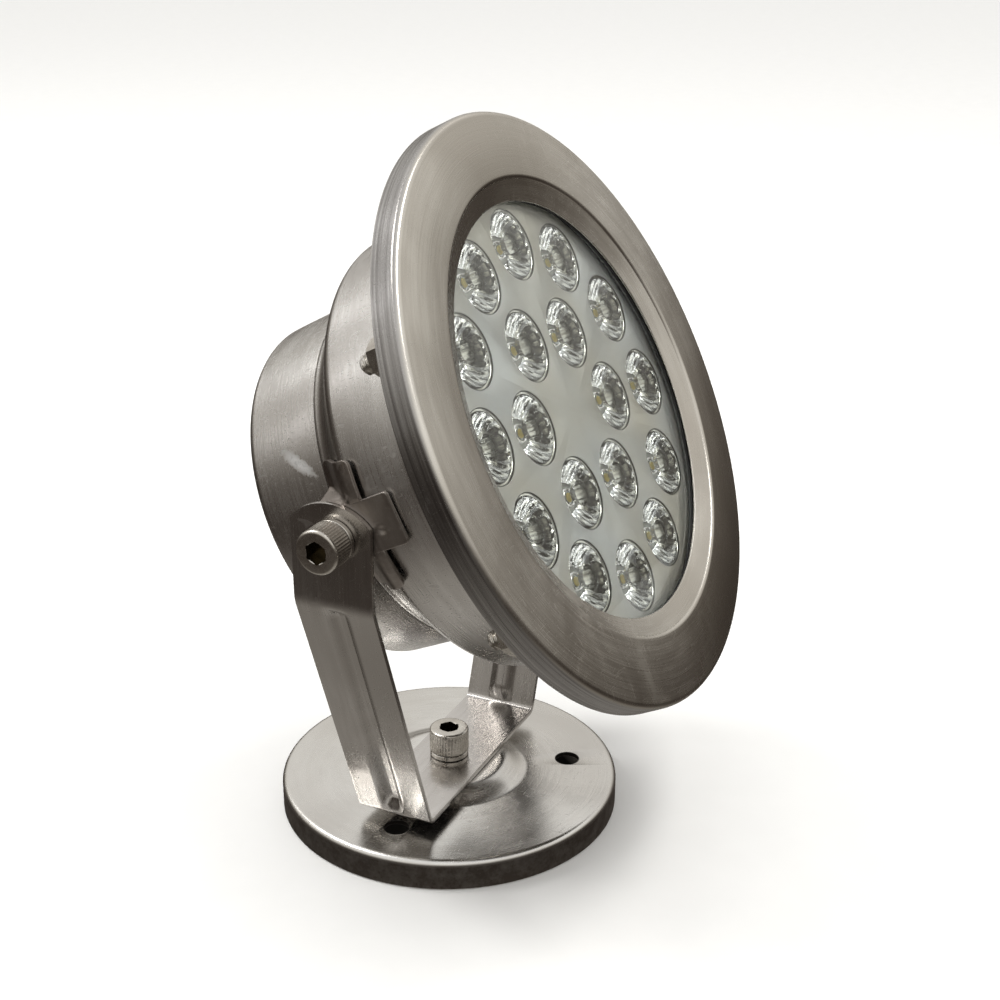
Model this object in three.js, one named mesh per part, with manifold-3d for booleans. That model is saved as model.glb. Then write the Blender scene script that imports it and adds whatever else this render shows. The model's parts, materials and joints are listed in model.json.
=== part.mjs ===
// Underwater pool light: a stainless steel LED spotlight with eighteen lenses, held in a
// U bracket that stands on a round base with three fixing holes.
//
// Millimetres, +Z up. The origin is the centre of the underside of the base. The lamp looks
// along -Y and is tilted up by HEAD_TILT about the pivot, which lies parallel to X, a little
// ahead of the base's centre.
// Lamp pieces are drawn in the lamp's own frame, with the pivot at its origin: a place along
// the lamp's axis is given as "forward", towards the glass, and is laid along -Y.
import * as THREE from "three";
import { ConvexGeometry } from "three/addons/geometries/ConvexGeometry.js";
import { mergeVertices } from "three/addons/utils/BufferGeometryUtils.js";
import Module from "manifold-3d";

// ---- Driving dimensions ----

const SHEET = 1.5; // stainless sheet of the base, bracket and lamp shells
const GAP = 0.2; // clearance left between pieces that touch
const ROUND = 40; // facets round a large turned piece
const SMALL_ROUND = 16; // facets round a screw or a hole

const BASE_RADIUS = 55.8;
const BASE_HEIGHT = 10;
const BASE_EDGE_RADIUS = 2;
const EMBOSS_HEIGHT = 3.3; // raised seat for the bracket
const EMBOSS_TOP_RADIUS = 17;
const EMBOSS_FOOT_RADIUS = 26.5;
const FIXING_HOLES = 3;
const FIXING_HOLE_RADIUS = 4;
const FIXING_CIRCLE_RADIUS = 40;
const FIXING_FIRST_ANGLE = 182;

const BRACKET_WIDTH = 25;
const BRACKET_FORWARD = 0.7; // how far its middle lies ahead of the base's centre
const BRACKET_FOOT_HALF = 38.7; // from the middle to the foot bend, on the sheet's mid plane
const BRACKET_FOOT_BEND = 2.5;
const BRACKET_KNEE_HEIGHT = 101;
const BRACKET_KNEE_BEND = 12;
const EAR_INNER = 70; // from the middle to the inner face of an ear
const EAR_TOP_RADIUS = 16.5;
const EAR_TOP_HEIGHT = 131.8;
const RIB_WIDTH = 9.5;
const RIB_DEPTH = 3;
const RIB_FOOT_OFFSET = 3;
const RIB_KNEE_OFFSET = 0.5;
const RIB_END_LENGTH = 4; // the rib narrows over this length at each end
const RIB_END_SCALE = 0.6;

const PIVOT_HEIGHT = 121.5;
const PIVOT_FORWARD = 2.1; // how far the pivot lies ahead of the base's centre
const HEAD_TILT = 27;

const SCREW_RADIUS = 4; // M8
const SCREW_HEAD_RADIUS = 6.5;
const SCREW_HEAD_HEIGHT = 8;
const SCREW_KEY_FLATS = 6;
const SCREW_KEY_DEPTH = 4;
const BASE_SCREW_LENGTH = 16;
const PIVOT_SCREW_LENGTH = 9;
const SPRING_WASHER = { inner: 4.3, outer: 6.35, thickness: 1.6, splitAngle: 10 };
const NUT_FLATS = 13;
const NUT_HEIGHT = 6.5;
const CLINCH_NUT_RADIUS = 5.4;
const CLINCH_NUT_LENGTH = 2.6;
const THREAD_CLEARANCE = 0.3;

const CUP_RADIUS = 55;
const CUP_REAR_RADIUS = 54.2;
const CUP_REAR = -35.2;
const CUP_EDGE_RADIUS = 3.5;
const SHELL_RADIUS = 68.2;
const SHOULDER_SLOPE = 48; // degrees between the shoulder and the lamp's axis
const SHOULDER_MIDDLE = [60, 0.5]; // radius and forward place of a point on the slope
const SHOULDER_FILLET = 8; // where the cup runs into the slope
const SHOULDER_ROUND = 5; // where the slope runs into the shell
const NECK_LENGTH = 4.5;
const FLANGE_RADIUS = 86.5;
const FLANGE_FRONT = 42.3;

const RING_RADIUS = 90;
const RING_SHEET = 1.1;
const RING_REAR = 42.8;
const RING_FRONT = 51.3;
const RING_EDGE_RADIUS = 2;
const RING_CROWN = 52.1; // forward place of the face where it turns into the lip
const LIP_RADIUS = 70;
const OPENING_RADIUS = 63.2;
const OPENING_FRONT = 49.1;

const STUDS = 6;
const STUD_RADIUS = 3; // M6
const STUD_CIRCLE_RADIUS = 80;
const STUD_REAR = 31.5;
const STUD_NUT_FLATS = 10;
const STUD_NUT_HEIGHT = 4.5;

const GLASS_RADIUS = 75;
const GLASS_REAR = 43.2;
const GLASS_FRONT = 47.2;
const FRONT_GASKET_INNER = 64;
const FRONT_GASKET_THICKNESS = 0.6;

const MASK_RADIUS = 66.3;
const MASK_FRONT = 42.6;
const MASK_SHEET = 1.4;
const OUTER_LENSES = 12;
const OUTER_LENS_CIRCLE = 51.6;
const INNER_LENSES = 6;
const INNER_LENS_CIRCLE = 25.9;
const FIRST_LENS_ANGLE = 7; // both rings start this far from +X, about the lamp's axis
const LENS_RADIUS = 10.9;
const LENS_CLEARANCE = 0.3;
const LENS_HEIGHT = 13;
const LENS_FRONT = MASK_FRONT - 0.1;
const LENS_FACETS = 12;

const BOARD_RADIUS = 62;
const BOARD_THICKNESS = 1.6;
const BOARD_FRONT = LENS_FRONT - LENS_HEIGHT - 0.5;
const EMITTER_RADIUS = 2.2;
const EMITTER_HEIGHT = 2.2;
const HEAT_PLATE_RADIUS = 63;
const HEAT_PLATE_THICKNESS = 4;
const CHASSIS_HALF_WIDTH = 34;
const CHASSIS_STRIP = 20;
const CHASSIS_FOOT = 9;
const DRIVER = { width: 56, depth: 22, height: 40, bevel: 1.5 };

const GLAND_THREAD_RADIUS = 8; // M16
const GLAND_BORE_RADIUS = 4.6;
const GLAND_FLATS = 20;
const GLAND_HEX_LENGTH = 6;
const GLAND_NUT_LENGTH = 13;
const GLAND_ORING_SECTION = 0.9;

const TRUNNION_SHEET = 1.2;
const TRUNNION_HALF = 8; // half the raised square pad
const TRUNNION_ARM_HALF = 7.6;
const TRUNNION_FRONT_END = 20.8;
const TRUNNION_SIDE_REAR = -5.4; // the upper and lower arms lie between these forward places
const TRUNNION_SIDE_FRONT = 12.2;
const TRUNNION_SIDE_FOOT = 8.8; // height at which they meet the shoulder, at the front
const TRUNNION_SIDE_FOOT_RISE = 0.17; // and how much higher that is for each step to the rear
const TRUNNION_SIDE_END = 19.2;
const TRUNNION_SIDE_CORNER = 2.1; // cut off the tab's front outer corner
const TRUNNION_REAR_FOOT = 13;
const TRUNNION_REAR_END = 21;

// ---- Worked out from those ----

const EMBOSS_TOP = BASE_HEIGHT + EMBOSS_HEIGHT;
const STRIP_BOTTOM = EMBOSS_TOP + GAP;
const STRIP_TOP = STRIP_BOTTOM + SHEET;
const EAR_OUTER = EAR_INNER + SHEET;
const BASE_SCREW_SEAT = STRIP_TOP + SPRING_WASHER.thickness + 2 * GAP;
const PIVOT_SCREW_SEAT = EAR_OUTER + SPRING_WASHER.thickness + 2 * GAP;
const PAD_OUTER = EAR_INNER - GAP;
const PAD_INNER = PAD_OUTER - TRUNNION_SHEET;
const FLANGE_REAR = FLANGE_FRONT - SHEET;
const BOARD_REAR = BOARD_FRONT - BOARD_THICKNESS;
const HEAT_PLATE_FRONT = BOARD_REAR - GAP;
const HEAT_PLATE_REAR = HEAT_PLATE_FRONT - HEAT_PLATE_THICKNESS;
const CUP_FLOOR = CUP_REAR + SHEET;

const radians = THREE.MathUtils.degToRad;

// ---- Finishes ----

function finish(color, roughness, metalness) {
  return { color, roughness, metalness };
}

const BRUSHED = finish(0xb5b0a8, 0.32, 1);
const POLISHED = finish(0xc4c1bb, 0.2, 1);
const SCREW_STEEL = finish(0xa9a59c, 0.28, 1);
const SATIN_ALUMINIUM = finish(0xb9bab8, 0.45, 1);
const CLEAR_GLASS = { ...finish(0xe8f2f0, 0.03, 0), transparent: true, opacity: 0.25 };
const CLEAR_ACRYLIC = { ...finish(0xf2f5f5, 0.05, 0), transparent: true, opacity: 0.45 };
const BLACK_RUBBER = finish(0x161616, 0.75, 0);
const GREY_SILICONE = finish(0x8f8f8b, 0.55, 0);
const CIRCUIT_WHITE = finish(0xe9e8e2, 0.5, 0);
const BLACK_CASE = finish(0x232427, 0.6, 0);

function named(name, geometry, look) {
  const mesh = new THREE.Mesh(geometry, new THREE.MeshStandardMaterial(look));
  mesh.name = name;
  return mesh;
}

// ---- Solids: joining and cutting closed geometries ----

const wasm = await Module();
wasm.setup();

function solidOf(geometry) {
  const bare = new THREE.BufferGeometry();
  bare.setAttribute("position", geometry.getAttribute("position").clone());
  bare.setIndex(geometry.getIndex());
  const merged = mergeVertices(bare, 1e-4);
  return new wasm.Manifold(
    new wasm.Mesh({
      numProp: 3,
      vertProperties: merged.getAttribute("position").array,
      triVerts: new Uint32Array(merged.getIndex().array),
    }),
  );
}

function geometryOf(solid) {
  const { vertProperties, triVerts } = solid.getMesh();
  const geometry = new THREE.BufferGeometry();
  geometry.setAttribute("position", new THREE.BufferAttribute(vertProperties, 3));
  geometry.setIndex(new THREE.BufferAttribute(triVerts, 1));
  geometry.computeVertexNormals();
  return geometry;
}

function cut(body, ...tools) {
  return geometryOf(tools.reduce((left, tool) => left.subtract(solidOf(tool)), solidOf(body)));
}

function join(body, ...others) {
  return geometryOf(others.reduce((sum, other) => sum.add(solidOf(other)), solidOf(body)));
}

function overlap(body, other) {
  return geometryOf(solidOf(body).intersect(solidOf(other)));
}

// ---- Shapes used again and again ----

// Points round an arc, from one angle to another in degrees.
function arc(x, y, radius, from, to, steps) {
  return Array.from({ length: steps + 1 }, (_, i) => {
    const angle = radians(from + ((to - from) * i) / steps);
    return [x + radius * Math.cos(angle), y + radius * Math.sin(angle)];
  });
}

// Points on a smooth S from one point to another, level at both ends.
function easedSlope([x0, y0], [x1, y1], steps) {
  return Array.from({ length: steps + 1 }, (_, i) => {
    const t = i / steps;
    return [x0 + (x1 - x0) * t, y0 + ((y1 - y0) * (1 - Math.cos(Math.PI * t))) / 2];
  });
}

function lathed(profile, facets) {
  const points = profile.map(([radius, along]) => new THREE.Vector2(radius, along));
  if (THREE.ShapeUtils.area(points) < 0) points.reverse();
  if (points[0].x > 0) points.push(points[0].clone());
  return new THREE.LatheGeometry(points, facets);
}

// A turned piece with its axis upright; the profile gives radius and height.
function turnedUpright(profile, facets = ROUND) {
  return lathed(profile, facets).rotateX(Math.PI / 2);
}

// A turned piece on the lamp's axis; the profile gives radius and forward place.
function turnedForward(profile, facets = ROUND) {
  return lathed(
    profile.map(([radius, forward]) => [radius, -forward]),
    facets,
  );
}

function rectangleProfile(inner, outer, low, high) {
  return [
    [inner, low],
    [outer, low],
    [outer, high],
    [inner, high],
  ];
}

// A round bar on the lamp's axis, used as a cutter or a plain disc.
function forwardBar(radius, rear, front, facets = SMALL_ROUND) {
  return new THREE.CylinderGeometry(radius, radius, front - rear, facets).translate(
    0,
    -(rear + front) / 2,
    0,
  );
}

function uprightBar(radius, low, high, facets = SMALL_ROUND) {
  return new THREE.CylinderGeometry(radius, radius, high - low, facets)
    .rotateX(Math.PI / 2)
    .translate(0, 0, (low + high) / 2);
}

function crossBar(radius, length, facets = SMALL_ROUND) {
  return new THREE.CylinderGeometry(radius, radius, length, facets).rotateZ(Math.PI / 2);
}

function extruded(points, length) {
  const shape = new THREE.Shape(points.map(([x, y]) => new THREE.Vector2(x, y)));
  return new THREE.ExtrudeGeometry(shape, { depth: length, bevelEnabled: false, steps: 1 });
}

// The mid line of a bent sheet with its corners rounded to the given radii.
function filleted(corners, radii, steps) {
  const path = [];
  corners.forEach(([x, y], i) => {
    const radius = radii[i];
    if (!radius) {
      path.push(new THREE.Vector2(x, y));
      return;
    }
    const corner = new THREE.Vector2(x, y);
    const back = new THREE.Vector2(...corners[i - 1]).sub(corner).normalize();
    const ahead = new THREE.Vector2(...corners[i + 1]).sub(corner).normalize();
    const halfAngle = Math.acos(THREE.MathUtils.clamp(back.dot(ahead), -1, 1)) / 2;
    const start = corner.clone().addScaledVector(back, radius / Math.tan(halfAngle));
    const end = corner.clone().addScaledVector(ahead, radius / Math.tan(halfAngle));
    const middle = back.clone().add(ahead).normalize();
    const centre = corner.clone().addScaledVector(middle, radius / Math.sin(halfAngle));
    const from = start.clone().sub(centre).angle();
    let turn = end.clone().sub(centre).angle() - from;
    if (turn > Math.PI) turn -= 2 * Math.PI;
    if (turn < -Math.PI) turn += 2 * Math.PI;
    for (let k = 0; k <= steps; k++) {
      const angle = from + (turn * k) / steps;
      path.push(new THREE.Vector2(Math.cos(angle), Math.sin(angle)).multiplyScalar(radius).add(centre));
    }
  });
  return path;
}

// The outline of a sheet of the given thickness that follows a mid line.
function ribbonOutline(path, thickness) {
  const offset = (side) =>
    path.map((point, i) => {
      const before = point.clone().sub(path[Math.max(i - 1, 0)]);
      const after = path[Math.min(i + 1, path.length - 1)].clone().sub(point);
      const into = (before.length() ? before : after).clone().normalize();
      const out = (after.length() ? after : before).clone().normalize();
      const along = into.clone().add(out).normalize();
      const reach = (side * thickness) / 2 / along.dot(out);
      return [point.x - along.y * reach, point.y + along.x * reach];
    });
  return [...offset(1), ...offset(-1).reverse()];
}

// A sheet bent along a mid line in the XZ plane, as wide as given, centred on Y.
function bentStrip(path, thickness, width) {
  return extruded(ribbonOutline(path, thickness), width)
    .rotateX(Math.PI / 2)
    .translate(0, width / 2, 0);
}

function hexPrism(flats, low, high) {
  return uprightBar(flats / Math.sqrt(3), low, high, 6);
}

function hexNut(flats, height, boreRadius) {
  return cut(hexPrism(flats, 0, height), uprightBar(boreRadius, -1, height + 1));
}

// ---- Fasteners, each upright with its seat at z = 0 ----

function socketScrew(length) {
  const edge = 0.8;
  const body = turnedUpright(
    [
      [0, -length],
      [SCREW_RADIUS - edge, -length],
      [SCREW_RADIUS, -length + edge],
      [SCREW_RADIUS, 0],
      [SCREW_HEAD_RADIUS - edge / 2, 0],
      [SCREW_HEAD_RADIUS, edge / 2],
      [SCREW_HEAD_RADIUS, SCREW_HEAD_HEIGHT - edge],
      [SCREW_HEAD_RADIUS - edge, SCREW_HEAD_HEIGHT],
      [0, SCREW_HEAD_HEIGHT],
    ],
    SMALL_ROUND,
  );
  return cut(body, hexPrism(SCREW_KEY_FLATS, SCREW_HEAD_HEIGHT - SCREW_KEY_DEPTH, SCREW_HEAD_HEIGHT + 1));
}

function springWasher() {
  const { inner, outer, thickness, splitAngle } = SPRING_WASHER;
  const end = 360 - splitAngle;
  const outline = [...arc(0, 0, outer, splitAngle, end, 18), ...arc(0, 0, inner, end, splitAngle, 18)];
  return extruded(outline, thickness);
}

function clinchNut() {
  const bore = SCREW_RADIUS + THREAD_CLEARANCE;
  return turnedUpright(rectangleProfile(bore, CLINCH_NUT_RADIUS, 0, CLINCH_NUT_LENGTH), SMALL_ROUND);
}

function stud(length) {
  const edge = 0.7;
  return turnedForward(
    [
      [0, 0],
      [STUD_RADIUS - edge, 0],
      [STUD_RADIUS, edge],
      [STUD_RADIUS, length],
      [0, length],
    ],
    12,
  );
}

// ---- Base ----

function basePlate() {
  const sheetFrom = (top, height) => top.map(([radius, z]) => [radius, z - height]).reverse();
  const emboss = easedSlope([EMBOSS_TOP_RADIUS, EMBOSS_TOP], [EMBOSS_FOOT_RADIUS, BASE_HEIGHT], 3);
  const edgeCentre = BASE_RADIUS - BASE_EDGE_RADIUS;
  const edgeLow = BASE_HEIGHT - BASE_EDGE_RADIUS;
  const boreRadius = SCREW_RADIUS + 0.5;
  const plate = turnedUpright([
    [boreRadius, EMBOSS_TOP],
    ...emboss,
    ...arc(edgeCentre, edgeLow, BASE_EDGE_RADIUS, 90, 0, 3),
    [BASE_RADIUS, 0],
    [BASE_RADIUS - SHEET, 0],
    ...arc(edgeCentre, edgeLow, BASE_EDGE_RADIUS - SHEET, 0, 90, 1),
    ...sheetFrom(emboss, SHEET),
    [boreRadius, EMBOSS_TOP - SHEET],
  ]);
  const holes = Array.from({ length: FIXING_HOLES }, (_, i) => {
    const angle = radians(FIXING_FIRST_ANGLE + (360 / FIXING_HOLES) * i);
    return uprightBar(FIXING_HOLE_RADIUS, 0, EMBOSS_TOP, 16).translate(
      FIXING_CIRCLE_RADIUS * Math.cos(angle),
      FIXING_CIRCLE_RADIUS * Math.sin(angle),
      0,
    );
  });
  return named("base_plate", cut(plate, ...holes), BRUSHED);
}

function baseFasteners() {
  const screw = named("base_screw", socketScrew(BASE_SCREW_LENGTH), SCREW_STEEL);
  screw.position.z = BASE_SCREW_SEAT;
  const washer = named("base_spring_washer", springWasher(), SCREW_STEEL);
  washer.position.z = STRIP_TOP + GAP;
  const nut = named(
    "base_nut",
    hexNut(NUT_FLATS, NUT_HEIGHT, SCREW_RADIUS + THREAD_CLEARANCE),
    SCREW_STEEL,
  );
  nut.position.z = EMBOSS_TOP - SHEET - GAP - NUT_HEIGHT;
  return [screw, washer, nut];
}

// ---- Bracket ----

// The rib pressed inwards in one leg: half ellipses laid across the sloping stretch, smaller at
// the ends. It starts a distance outside the mid plane, and its ends are drawn in by an inset.
function ribBar(halfWidth, depth, outside, inset) {
  const foot = new THREE.Vector2(BRACKET_FOOT_HALF, STRIP_BOTTOM + SHEET / 2);
  const knee = new THREE.Vector2(EAR_INNER + SHEET / 2, BRACKET_KNEE_HEIGHT);
  const slope = knee.clone().sub(foot);
  const low = RIB_FOOT_OFFSET + inset;
  const high = slope.length() - RIB_KNEE_OFFSET - inset;
  const section = (along, scale) =>
    arc(0, 0, 1, 0, 180, 8).map(
      ([x, y]) => new THREE.Vector3(outside - y * depth * scale, x * halfWidth * scale, along),
    );
  const sections = [
    ...section(low, RIB_END_SCALE),
    ...section(low + RIB_END_LENGTH, 1),
    ...section(high - RIB_END_LENGTH, 1),
    ...section(high, RIB_END_SCALE),
  ];
  return new ConvexGeometry(sections)
    .rotateY(Math.atan2(slope.x, slope.y))
    .translate(foot.x, 0, foot.y);
}

// The bracket seen from the side: straight edges with a shallow round top on each ear.
function earOutline() {
  const half = BRACKET_WIDTH / 2;
  const centre = EAR_TOP_HEIGHT - EAR_TOP_RADIUS;
  const reach = THREE.MathUtils.radToDeg(Math.asin(half / EAR_TOP_RADIUS));
  return [[-half, 0], [half, 0], ...arc(0, centre, EAR_TOP_RADIUS, 90 - reach, 90 + reach, 12)];
}

function bracket() {
  const ear = EAR_INNER + SHEET / 2;
  const floor = STRIP_BOTTOM + SHEET / 2;
  const midLine = filleted(
    [
      [-ear, EAR_TOP_HEIGHT + 1],
      [-ear, BRACKET_KNEE_HEIGHT],
      [-BRACKET_FOOT_HALF, floor],
      [BRACKET_FOOT_HALF, floor],
      [ear, BRACKET_KNEE_HEIGHT],
      [ear, EAR_TOP_HEIGHT + 1],
    ],
    [0, BRACKET_KNEE_BEND, BRACKET_FOOT_BEND, BRACKET_FOOT_BEND, BRACKET_KNEE_BEND, 0],
    3,
  );
  const strip = bentStrip(midLine, SHEET, BRACKET_WIDTH);
  const sideView = extruded(earOutline(), 4 * EAR_INNER)
    .rotateX(Math.PI / 2)
    .rotateZ(Math.PI / 2)
    .translate(-2 * EAR_INNER, 0, 0);
  const shaped = overlap(strip, sideView);
  const bumps = [];
  const grooves = [];
  const outerFace = SHEET / 2 + GAP;
  for (const side of [0, Math.PI]) {
    bumps.push(ribBar(RIB_WIDTH / 2 + SHEET / 2, RIB_DEPTH + SHEET / 2, 0, 0).rotateZ(side));
    grooves.push(
      ribBar(RIB_WIDTH / 2 - SHEET / 2, RIB_DEPTH + GAP, outerFace, SHEET).rotateZ(side),
    );
  }
  const pivotHole = crossBar(SCREW_RADIUS + 0.4, 4 * EAR_INNER);
  const baseHole = uprightBar(SCREW_RADIUS + 0.5, 0, PIVOT_HEIGHT / 2);
  const geometry = cut(
    join(shaped, ...bumps),
    ...grooves,
    pivotHole.translate(0, BRACKET_FORWARD - PIVOT_FORWARD, PIVOT_HEIGHT),
    baseHole.translate(0, BRACKET_FORWARD, 0),
  );
  return named("bracket", geometry.translate(0, -BRACKET_FORWARD, 0), BRUSHED);
}

// ---- Lamp body ----

// The forward place of the shoulder's slope at a radius.
function slopeForward(radius) {
  return SHOULDER_MIDDLE[1] + (radius - SHOULDER_MIDDLE[0]) / Math.tan(radians(SHOULDER_SLOPE));
}

// The shoulder's surface from the cup to the shell, or the same surface a depth inside it.
function shoulderProfile(depth) {
  const turn = radians(SHOULDER_SLOPE);
  const filletRadius = CUP_RADIUS + SHOULDER_FILLET;
  const filletEnd = filletRadius - SHOULDER_FILLET * Math.cos(turn);
  const filletForward = slopeForward(filletEnd) - SHOULDER_FILLET * Math.sin(turn);
  const roundRadius = SHELL_RADIUS - SHOULDER_ROUND;
  const roundStart = roundRadius + SHOULDER_ROUND * Math.cos(turn);
  const roundForward = slopeForward(roundStart) + SHOULDER_ROUND * Math.sin(turn);
  return [
    ...arc(filletRadius, filletForward, SHOULDER_FILLET + depth, 180, 180 - SHOULDER_SLOPE, 2),
    ...arc(roundRadius, roundForward, SHOULDER_ROUND - depth, -SHOULDER_SLOPE, 0, 2),
  ];
}

const SHOULDER = shoulderProfile(0);
const SHOULDER_REAR = SHOULDER[0][1];

// The shoulder's radius at a forward place.
function shoulderRadius(forward) {
  const next = SHOULDER.findIndex(([, place]) => place > forward);
  if (next < 1) return next < 0 ? SHELL_RADIUS : CUP_RADIUS;
  const [radius0, forward0] = SHOULDER[next - 1];
  const [radius1, forward1] = SHOULDER[next];
  return radius0 + ((radius1 - radius0) * (forward - forward0)) / (forward1 - forward0);
}

function rearCup() {
  const edgeRadius = CUP_REAR_RADIUS - CUP_EDGE_RADIUS;
  const edgeForward = CUP_REAR + CUP_EDGE_RADIUS;
  const bore = GLAND_THREAD_RADIUS + GAP;
  const front = SHOULDER_REAR - GAP;
  return named(
    "rear_cup",
    turnedForward([
      [bore, CUP_REAR],
      ...arc(edgeRadius, edgeForward, CUP_EDGE_RADIUS, 270, 360, 3),
      [CUP_RADIUS, front],
      [CUP_RADIUS - SHEET, front],
      ...arc(edgeRadius, edgeForward, CUP_EDGE_RADIUS - SHEET, 360, 270, 2),
      [bore, CUP_FLOOR],
    ]),
    BRUSHED,
  );
}

// The wide front shell, with its sloping shoulder, a neck inside the cup and the ring's flange.
function frontShell() {
  const neck = CUP_RADIUS - SHEET - GAP;
  const shell = turnedForward([
    [neck, SHOULDER_REAR - NECK_LENGTH],
    [neck, SHOULDER_REAR],
    ...SHOULDER,
    [SHELL_RADIUS, FLANGE_REAR],
    [FLANGE_RADIUS, FLANGE_REAR],
    [FLANGE_RADIUS, FLANGE_FRONT],
    [SHELL_RADIUS - SHEET, FLANGE_FRONT],
    ...shoulderProfile(SHEET).reverse(),
    [neck - SHEET, SHOULDER_REAR + SHEET / 2],
    [neck - SHEET, SHOULDER_REAR - NECK_LENGTH],
  ]);
  const holes = onStudCircle(() =>
    forwardBar(STUD_RADIUS + 0.4, FLANGE_REAR - 1, FLANGE_FRONT + 1, 12),
  );
  return named("front_shell", cut(shell, ...holes), BRUSHED);
}

function faceRing() {
  const edgeRadius = RING_RADIUS - RING_EDGE_RADIUS;
  const edgeForward = RING_FRONT - RING_EDGE_RADIUS;
  const faceInner = RING_FRONT - RING_SHEET;
  return named(
    "face_ring",
    turnedForward([
      [RING_RADIUS, RING_REAR],
      ...arc(edgeRadius, edgeForward, RING_EDGE_RADIUS, 0, 90, 4),
      [(edgeRadius + LIP_RADIUS) / 2, (RING_FRONT + RING_CROWN) / 2 + 0.2],
      [LIP_RADIUS + 1, RING_CROWN],
      [LIP_RADIUS - 0.6, RING_CROWN - 0.5],
      [OPENING_RADIUS, OPENING_FRONT],
      [OPENING_RADIUS + 0.3, OPENING_FRONT - RING_SHEET],
      [LIP_RADIUS - 0.2, RING_CROWN - 0.5 - RING_SHEET],
      [LIP_RADIUS + 1, RING_CROWN - RING_SHEET],
      ...arc(edgeRadius, edgeForward, RING_EDGE_RADIUS - RING_SHEET, 90, 0, 2),
      [RING_RADIUS - RING_SHEET, RING_REAR],
    ]),
    BRUSHED,
  );
}

// One piece for each stud place, turned about the lamp's axis; the first is at the top.
function onStudCircle(make) {
  return Array.from({ length: STUDS }, (_, i) =>
    make(i)
      .translate(0, 0, STUD_CIRCLE_RADIUS)
      .rotateY(radians((360 / STUDS) * i)),
  );
}

function ringFasteners() {
  const studFront = RING_FRONT - RING_SHEET - GAP;
  const studs = onStudCircle(() =>
    stud(studFront - STUD_REAR).translate(0, -STUD_REAR, 0),
  ).map((geometry, i) => named(`ring_stud_${i + 1}`, geometry, SCREW_STEEL));
  const nuts = onStudCircle(() =>
    hexNut(STUD_NUT_FLATS, STUD_NUT_HEIGHT, STUD_RADIUS + THREAD_CLEARANCE)
      .rotateX(Math.PI / 2)
      .translate(0, -(FLANGE_REAR - GAP - STUD_NUT_HEIGHT), 0),
  ).map((geometry, i) => named(`ring_nut_${i + 1}`, geometry, SCREW_STEEL));
  return [...studs, ...nuts];
}

// ---- Window and lenses ----

function windowPieces() {
  const edge = 0.5;
  const glass = turnedForward([
    [0, GLASS_REAR],
    [GLASS_RADIUS - edge, GLASS_REAR],
    [GLASS_RADIUS, GLASS_REAR + edge],
    [GLASS_RADIUS, GLASS_FRONT - edge],
    [GLASS_RADIUS - edge, GLASS_FRONT],
    [0, GLASS_FRONT],
  ]);
  const frontLow = GLASS_FRONT + GAP;
  const frontGasket = turnedForward(
    rectangleProfile(FRONT_GASKET_INNER, GLASS_RADIUS, frontLow, frontLow + FRONT_GASKET_THICKNESS),
  );
  const rearGasket = turnedForward(
    rectangleProfile(SHELL_RADIUS - SHEET, GLASS_RADIUS, FLANGE_FRONT + GAP, GLASS_REAR - GAP),
  );
  return [
    named("glass", glass, CLEAR_GLASS),
    named("front_gasket", frontGasket, BLACK_RUBBER),
    named("rear_gasket", rearGasket, GREY_SILICONE),
  ];
}

// The angle and radius of every lens, outer ring first.
function lensPlaces() {
  const ring = (count, radius) =>
    Array.from({ length: count }, (_, i) => ({ angle: FIRST_LENS_ANGLE + (360 / count) * i, radius }));
  return [...ring(OUTER_LENSES, OUTER_LENS_CIRCLE), ...ring(INNER_LENSES, INNER_LENS_CIRCLE)];
}

function atLens({ angle, radius }, geometry) {
  return geometry.translate(
    radius * Math.cos(radians(angle)),
    0,
    -radius * Math.sin(radians(angle)),
  );
}

function maskPlate() {
  const disc = forwardBar(MASK_RADIUS, MASK_FRONT - MASK_SHEET, MASK_FRONT, ROUND);
  const holes = lensPlaces().map((place) =>
    atLens(
      place,
      forwardBar(LENS_RADIUS + LENS_CLEARANCE, MASK_FRONT - MASK_SHEET - 1, MASK_FRONT + 1, 16),
    ),
  );
  return named("lens_mask", cut(disc, ...holes), SATIN_ALUMINIUM);
}

// A collimator lens: a cone with a well in its front and a socket for the emitter at its foot.
function lensProfile() {
  const foot = LENS_FRONT - LENS_HEIGHT;
  return [
    [0, foot + 3.2],
    [2.8, foot + 2.8],
    [2.9, foot],
    [4.6, foot],
    [LENS_RADIUS, LENS_FRONT - 1.2],
    [LENS_RADIUS, LENS_FRONT],
    [3.4, LENS_FRONT],
    [3, LENS_FRONT - 6],
    [0, LENS_FRONT - 5.2],
  ];
}

function lenses() {
  return lensPlaces().map((place, i) =>
    named(
      `lens_${String(i + 1).padStart(2, "0")}`,
      atLens(place, turnedForward(lensProfile(), LENS_FACETS)),
      CLEAR_ACRYLIC,
    ),
  );
}

// ---- Electrics ----

function ledBoard() {
  const board = forwardBar(BOARD_RADIUS, BOARD_REAR, BOARD_FRONT, ROUND);
  const emitters = lensPlaces().map((place) =>
    atLens(place, forwardBar(EMITTER_RADIUS, BOARD_FRONT - 0.5, BOARD_FRONT + EMITTER_HEIGHT, 8)),
  );
  return named("led_board", join(board, ...emitters), CIRCUIT_WHITE);
}

function heatPlate() {
  return named(
    "heat_plate",
    forwardBar(HEAT_PLATE_RADIUS, HEAT_PLATE_REAR, HEAT_PLATE_FRONT, ROUND),
    SATIN_ALUMINIUM,
  );
}

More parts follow.
